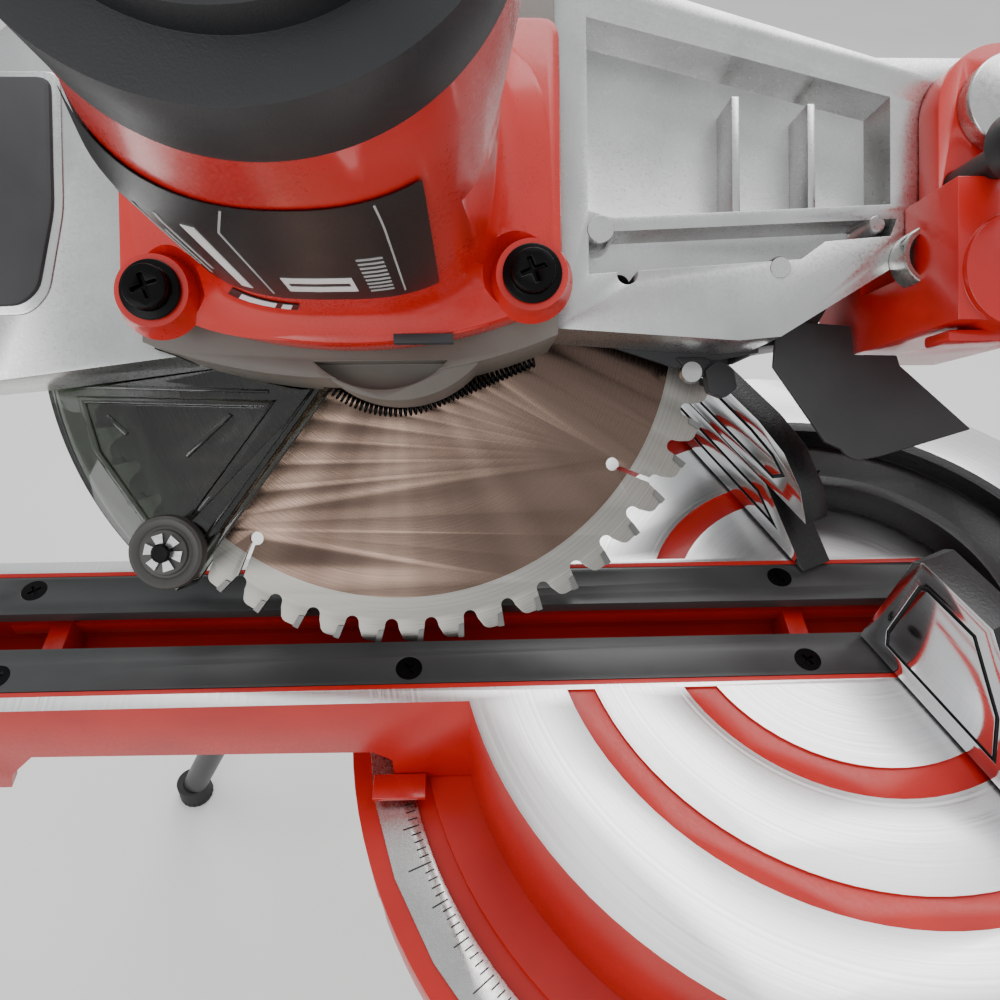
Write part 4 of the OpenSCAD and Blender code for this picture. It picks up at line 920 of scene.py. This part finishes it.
# %% Label on the barrel
def foils(name, lift, finish, areas):
    """Thin foils that follow the barrel. Each area is (x, x, angle, angle), in millimetres and degrees."""
    work = bmesh.new()
    for low, high, a0, a1 in areas:
        columns, rows = max(1, int((high - low) / 4)), max(2, int(abs(a1 - a0) / 4))
        for level in (lift, lift - 0.15):
            grid = [[work.verts.new(on_barrel(low + (high - low) * c / columns,
                                              math.radians(a0 + (a1 - a0) * r / rows), level))
                     for r in range(rows + 1)] for c in range(columns + 1)]
            for c in range(columns):
                for r in range(rows):
                    face = [grid[c][r], grid[c + 1][r], grid[c + 1][r + 1], grid[c][r + 1]]
                    work.faces.new(face if level == lift else face[::-1])
            edge = [grid[0][r] for r in range(rows + 1)]
            edge += [grid[c][rows] for c in range(1, columns + 1)]
            edge += [grid[columns][r] for r in range(rows - 1, -1, -1)]
            edge += [grid[c][0] for c in range(columns - 1, 0, -1)]
            if level == lift:
                upper = edge
        for i in range(len(edge)):
            j = (i + 1) % len(edge)
            work.faces.new((upper[i], upper[j], edge[j], edge[i]))
    finished_mesh(new_piece(name, placed_mesh(name, work, HEAD), "head", finish), 30)


foils("rating_label", 0.5, "sticker_black", [(80, 142, 205, 302)])
foils("label_print", 0.62, "label_grey", [
    (86 + (i * 7) % 9, 112 + (i * 13) % 24, 216 + 4.5 * i, 216 + 4.5 * i + 1.3) for i in range(6)])
foils("label_blocks", 0.63, "sticker_white", [
    (86, 128, 247, 251), (88, 92, 264, 274), (95, 99, 264, 274), (88, 99, 263, 264), (88, 99, 274, 275),
])
foils("label_rules", 0.61, "label_grey", [(84, 140, 257, 257.6), (84, 140, 288, 288.6)] + [
    (87 + 3 * i, 88 + 3 * i, 278, 285) for i in range(9)])
foils("date_sticker", 0.45, "sticker_black", [(SEAT_X + 8, SEAT_X + 13, 236, 262)])
foils("date_sticker_print", 0.58, "sticker_white", [
    (SEAT_X + 8.7, SEAT_X + 12.3, 241, 255), (SEAT_X + 8.7, SEAT_X + 12.3, 257, 260)])
print("label done")

# %% [markdown]
# ## Guard spring, roller and flap
# The lower guard is pulled shut by a fine coil spring that bends round the boss and runs off under the
# arm. The coil tree winds it from its real sizes: a 0.9 mm wire with 1.5 mm between turns.

# %% Return spring
SPRING_X, SPRING_PITCH, POINTS_PER_TURN = 15.2, 1.5, 14
SPRING_R, SPRING_SWEEP, SPRING_TAIL = 29.8, math.radians(77), 34.0
spring_turns = (SPRING_R * SPRING_SWEEP + SPRING_TAIL) / SPRING_PITCH
spring_place = HEAD @ Matrix.Translation(Vector((SPRING_X, 0, 0)) * MM)
spring = grow("guard_spring_coil", COIL, {
    "Turns": spring_turns, "Arc Radius": SPRING_R, "Start": math.radians(215), "Sweep": SPRING_SWEEP,
    "Tail": SPRING_TAIL, "Coil Radius": 1.8, "Wire Radius": 0.45, "Points": int(spring_turns * POINTS_PER_TURN),
}, "head", "black_oxide_steel", spring_place, sharp_angle=80)
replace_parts(spring, "guard_spring")
print("spring of", round(spring_turns), "turns")

# %% Roller that lifts the guard off the wood
ROLLER_AT = tuple((HEAD.inverted() @ Vector(JOINTS["guard_roller_spin"]["pos_m"]))[i] / MM for i in (1, 2))
roller = turned_piece("roller_wheel", [
    (13.0, 0), (13.0, 9.6), (13.8, 11.0), (15.2, 11.4), (17.6, 11.4), (18.9, 11.0),
    (19.5, 10.0), (19.2, 8.6), (18.7, 7.8), (18.9, 7.1), (19.9, 6.8), (20.2, 6.2), (20.2, 0),
], ROLLER_AT, "guard_wheel", "roller_nylon")
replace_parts(roller, "guard_roller")
turned_piece("roller_axle", [(9.0, 0), (9.0, 2.9), (23.0, 2.9), (23.6, 2.3), (23.6, 0)], ROLLER_AT,
             "guard_wheel", "black_oxide_steel")
petal = master("push_nut_petal",
               lambda work: add_plate(work, [(-1.0, 2.6), (1.0, 2.6), (1.7, 5.6), (-1.7, 5.6)], 20.2, 21.2))
grow("push_nut", RING,
     {"Shape": petal, "Count": 6, "Start": 0.3, "Step": math.pi / 3, "Centre": (0, *ROLLER_AT)},
     "guard_wheel", "zinc_plated_steel")

# %% [markdown]
# **Chip deflector.** A stiff rubber flap hangs behind the blade and throws the chips into the chute. It
# has a moulded crease, below which it leans outwards, and one rounded corner. It is drawn as its real
# outline in two planes that meet at the crease, and a Solidify modifier gives it its 1.6 mm.


# %% Chip deflector
def chip_deflector():
    """Two planes that meet at the crease, thickened evenly to both sides."""
    work = bmesh.new()
    crease = [Vector((10.6, 119.5, -16.9)), Vector((10.6, 160.9, -16.9))]
    upper = [Vector((10.4, 160.0, -13.5)), Vector((10.4, 146, -13.2)), Vector((10.4, 145, -4)),
             Vector((10.4, 121, -2))]
    lean = 0.16
    corner = curve_points((145.5, -40.6), 6.6, 262, 208, 5)
    hem = [(182, -37.7), (151.8, -46.1)] + corner + [(134.6, -41.3)]
    lower = [Vector((10.6 + lean * (-16.9 - z), y, z)) for y, z in hem]
    top = [work.verts.new(v) for v in crease + upper]
    work.faces.new(top)
    work.faces.new([top[1], top[0]] + [work.verts.new(v) for v in lower[::-1]])
    mesh = placed_mesh("chip_deflector", work, HEAD)
    piece = new_piece("chip_deflector", mesh, "head", "soft_rubber_flap")
    thick = piece.modifiers.new("thickness", "SOLIDIFY")
    thick.thickness, thick.offset = 1.6 * MM, 0.0
    return bevelled(piece, 0.5, 2, 30)


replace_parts(chip_deflector(), "dust_flap")

# %% [markdown]
# ## Small pieces round the head
# A steel screw and a clip hold the deflector's bracket, a bent copper clip earths the guard, and the
# casting carries bosses and ribs. Each is small, but together they make the head look assembled and not
# carved.

# %% Clips, bosses and ribs
turned_piece("deflector_screw", [(6, 0), (6, 2.2), (11.5, 2.2), (11.5, 3.6), (13.2, 3.2), (13.6, 0)],
             (93, -18.5), "head", "zinc_plated_steel")
plate_piece("deflector_clip", [
    (rounded([(97, -18), (101, -15), (106, -18), (107, -24), (103, -27), (98, -25)], 1.2), 9.5, 14.5),
    (rounded([(88, -14), (98, -14), (101, -17), (97, -20), (91, -17)], 1.0), 9.5, 12.5),
], "head", "black_nylon", edge=0.7)


def bent_strip(name, path, width, thickness, low, body, finish):
    """A strip of sheet metal bent along a path in (y, z), width wide along x."""
    sides = []
    for sign in (1, -1):
        side = []
        for i, here in enumerate(path):
            before, after = path[max(0, i - 1)], path[min(len(path) - 1, i + 1)]
            run = (Vector(after) - Vector(before)).normalized()
            side.append((here[0] - run.y * thickness / 2 * sign, here[1] + run.x * thickness / 2 * sign))
        sides.append(side)
    plate_piece(name, [(sides[0] + sides[1][::-1], low, low + width)], body, finish, edge=0.15)


bent_strip("earthing_clip",
           [(-124, -17.4), (-118, -18.2)] + curve_points((-115.5, -18.6), 2.6, 180, 330, 8) +
           [(-111.5, -16.2), (-108.5, -17.8)], 7, 0.8, 5, "head", "bent_copper")
# Painted shade: the dark plate framed by the die-cast rim stands for the shaded recess in the arm's side.
panel = rounded([(-150, 60), (-150, -3.6), (-100, -2.2), (-95, 2), (-90.5, 24), (-90.5, 60)], 3.5)
plate_piece("arm_side_panel", [(panel, 37.5, 40.2)], "head", "recess_painted_shade", edge=1.0)
panel_rim = rounded([(-152, 62), (-152, -5.6), (-98, -4.6), (-92.6, 1), (-88.2, 24), (-88.2, 62)], 4)
plate_piece("arm_side_panel_rim", [(panel_rim, 37.0, 38.7)], "head", "die_cast_aluminium", edge=0.6)
for number, (y, z, radius) in enumerate([(60.5, 18.6, 4.2), (112, 7.6, 3.4), (140, 20, 2.6)]):
    turned_piece(f"arm_boss_{number}",
                 [(24, 0), (24, radius + 0.5), (37.4, radius), (38.3, radius - 0.5), (38.3, 0)],
                 (y, z), "head", "die_cast_aluminium")
rung = master("rung",
              lambda work: add_plate(work, [(48.2, -1.1), (55.5, -1.1), (55.5, 1.1), (48.2, 1.1)], 24, 34))
grow("arm_ladder_ribs", COPIES, {"Shape": rung, "Turn": (0, 0, 0)}, "head", "die_cast_aluminium",
     marks=[(0, 0, 2 + 9.5 * i) for i in range(7)])
plate_piece("arm_cross_rib",
            [(box_outline(100, 40, 1.2, 17), 22, 36), (box_outline(122, 40, 1.2, 15), 22, 36)],
            "head", "die_cast_aluminium", edge=0.5)
work = bmesh.new()
HINGE_AT = (152, 9)
add_turned(work, [(38.2, 8.6), (45.5, 8.6), (46.2, 8.2), (46.2, 7.0), (39.0, 6.6), (38.2, 8.6)], HINGE_AT)
rim_mesh = placed_mesh("hinge_port_rim", work, HEAD)
finished_mesh(new_piece("hinge_port_rim", rim_mesh, "carriage", "zinc_plated_steel"), 30)
turned_piece("hinge_port", [(38.4, 0), (38.4, 6.7), (44.0, 6.8), (44.0, 5.6), (42.5, 5.0), (42.5, 0)],
             HINGE_AT, "carriage", "black_nylon")
plate_piece("bracket_stop_bar", [(rounded(box_outline(158, -15.5, 9, 1.6), 1.2), 46, 58)],
            "carriage", "red_powder_coat", edge=0.6)
print("head details done")

# %% [markdown]
# ## Table details
# Two ledges run along the slot below the kerf plates, and three webs cross it. The lock rod that runs
# under the table's arm is bright steel, though its knob is black, so the faces behind the knob get the
# chrome finish.

# %% Slot and lock rod
plate_piece("slot_webs", [(box_outline(0, y, 11.9, 3.4), -20.5, -8) for y in (-262, -12, 60)],
            "turntable", "red_powder_coat", TABLE, flat=True)
plate_piece("slot_ledges", [(box_outline(side * 10.6, -90, 1.4, 190), -14.5, -9.5) for side in (-1, 1)],
            "turntable", "red_powder_coat", TABLE, flat=True)
KNOB_BACK = -0.304
handle = bpy.data.objects["mitre_handle_skin"]
handle.data.materials.append(FINISHES["hard_chrome"])
to_table = TABLE.inverted()
for face in handle.data.polygons:
    if (to_table @ face.center).y > KNOB_BACK:
        face.material_index = 1
print("slot webs and ledges done")

# %% [markdown]
# **Scale ticks.** The mitre scale is a plated steel plate with one printed tick for each degree, and
# longer ones at each five and fifteen. A loop makes three lengths, and the ring is drawn round the
# table's centre.


# %% Mitre scale
def scale_ticks():
    """A flat bar for each degree, all in one mesh."""
    work = bmesh.new()
    inner, printed_z = 149.2, (-52.9, -52.68)
    for degree in range(-50, 51):
        length = 8.0 if degree % 15 == 0 else 5.5 if degree % 5 == 0 else 3.2
        turn = Matrix.Rotation(math.radians(degree - 90), 4, "Z")
        corners = [(inner, -0.22), (inner + length, -0.22), (inner + length, 0.22), (inner, 0.22)]
        points = [turn @ Vector((x, y, 0)) for x, y in corners]
        add_plate(work, [(p.x, p.y) for p in points], *printed_z, flat=True)
    new_piece("mitre_scale_ticks", placed_mesh("mitre_scale_ticks", work, BASE), "root", "sticker_black")


scale_ticks()

# %% [markdown]
# ## Grip details
# The main handle has soft ribs where the fingers close, the stand's beams have a plastic collar at each
# open end, and the rubber feet have treads all round.

# %% Ribs of the handle
GRIP_X = 25.0
pad_rib = master("pad_rib", lambda work: add_turned(work, [
    (-0.9, 0), (-0.9, 12.9), (-0.4, 13.4), (0.4, 13.4), (0.9, 12.9), (0.9, 0)], (0, 0), 40))


GRIP_LOW, GRIP_HIGH, GRIP_RIBS = Vector((GRIP_X, -215.5, 50)), Vector((GRIP_X, -199, 86)), 9
square_to_grip = (GRIP_HIGH - GRIP_LOW).to_track_quat("X", "Z").to_euler()
grow("upper_grip_ribs", COPIES, {"Shape": pad_rib, "Turn": tuple(square_to_grip)}, "head", "black_rubber",
     marks=[GRIP_LOW.lerp(GRIP_HIGH, i / (GRIP_RIBS - 1)) for i in range(GRIP_RIBS)])

# %% Collars at the ends of the beams
BRACKET_RISE, BEAM_HALF, BEAM_END = 25, 17.5, 450
BEAM_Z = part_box("saw_base")[0].z / MM - BRACKET_RISE - BEAM_HALF
for sign, name in ((-1, "left"), (1, "right")):
    for y, tube in ((-80, "front"), (80, "rear")):
        outer = rounded(box_outline(y, BEAM_Z, BEAM_HALF + 1.2, BEAM_HALF + 1.2), 3)
        hole = rounded(box_outline(y, BEAM_Z, BEAM_HALF - 1.4, BEAM_HALF - 1.4), 1)
        ends = sign * (BEAM_END - 9), sign * (BEAM_END + 1.5)
        work = bmesh.new()
        loops = [[work.verts.new((x, *p)) for p in line] for x in ends for line in (outer, hole)]
        count = len(outer)
        for a, b in ((0, 2), (1, 3), (0, 1), (2, 3)):
            for i in range(count):
                j = (i + 1) % count
                work.faces.new((loops[a][i], loops[a][j], loops[b][j], loops[b][i]))
        mesh = placed_mesh("beam_collar", work, Matrix.Identity(4))
        bevelled(new_piece(f"{name}_{tube}_beam_collar", mesh, "root", "black_nylon"), 0.6)
print("beam collars: 4")

# %% Treads of the feet
TREADS = 20
tread = master("foot_tread", lambda work: add_plate(
    work, [(19.5, -1.6), (21.6, -1.6), (21.6, 1.6), (19.5, 1.6)], 1.0, 7.0))
for name in ("left", "right"):
    low, high = [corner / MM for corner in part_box(f"{name}_leg_feet")]
    centre_x = (low.x + high.x) / 2
    for foot_y in (low.y + 21, high.y - 21):
        end = "front" if foot_y < 0 else "rear"
        floor_point = Matrix.Translation(Vector((centre_x, foot_y, 0)) * MM)
        grow(f"{name}_{end}_foot_treads", RING, {
            "Shape": tread, "Count": TREADS, "Start": 0.0, "Step": 2 * math.pi / TREADS, "Centre": (0, 0, 0),
        }, f"{name}_legs", "black_rubber", floor_point @ Matrix.Rotation(-math.pi / 2, 4, "Y"))
print("foot treads done")
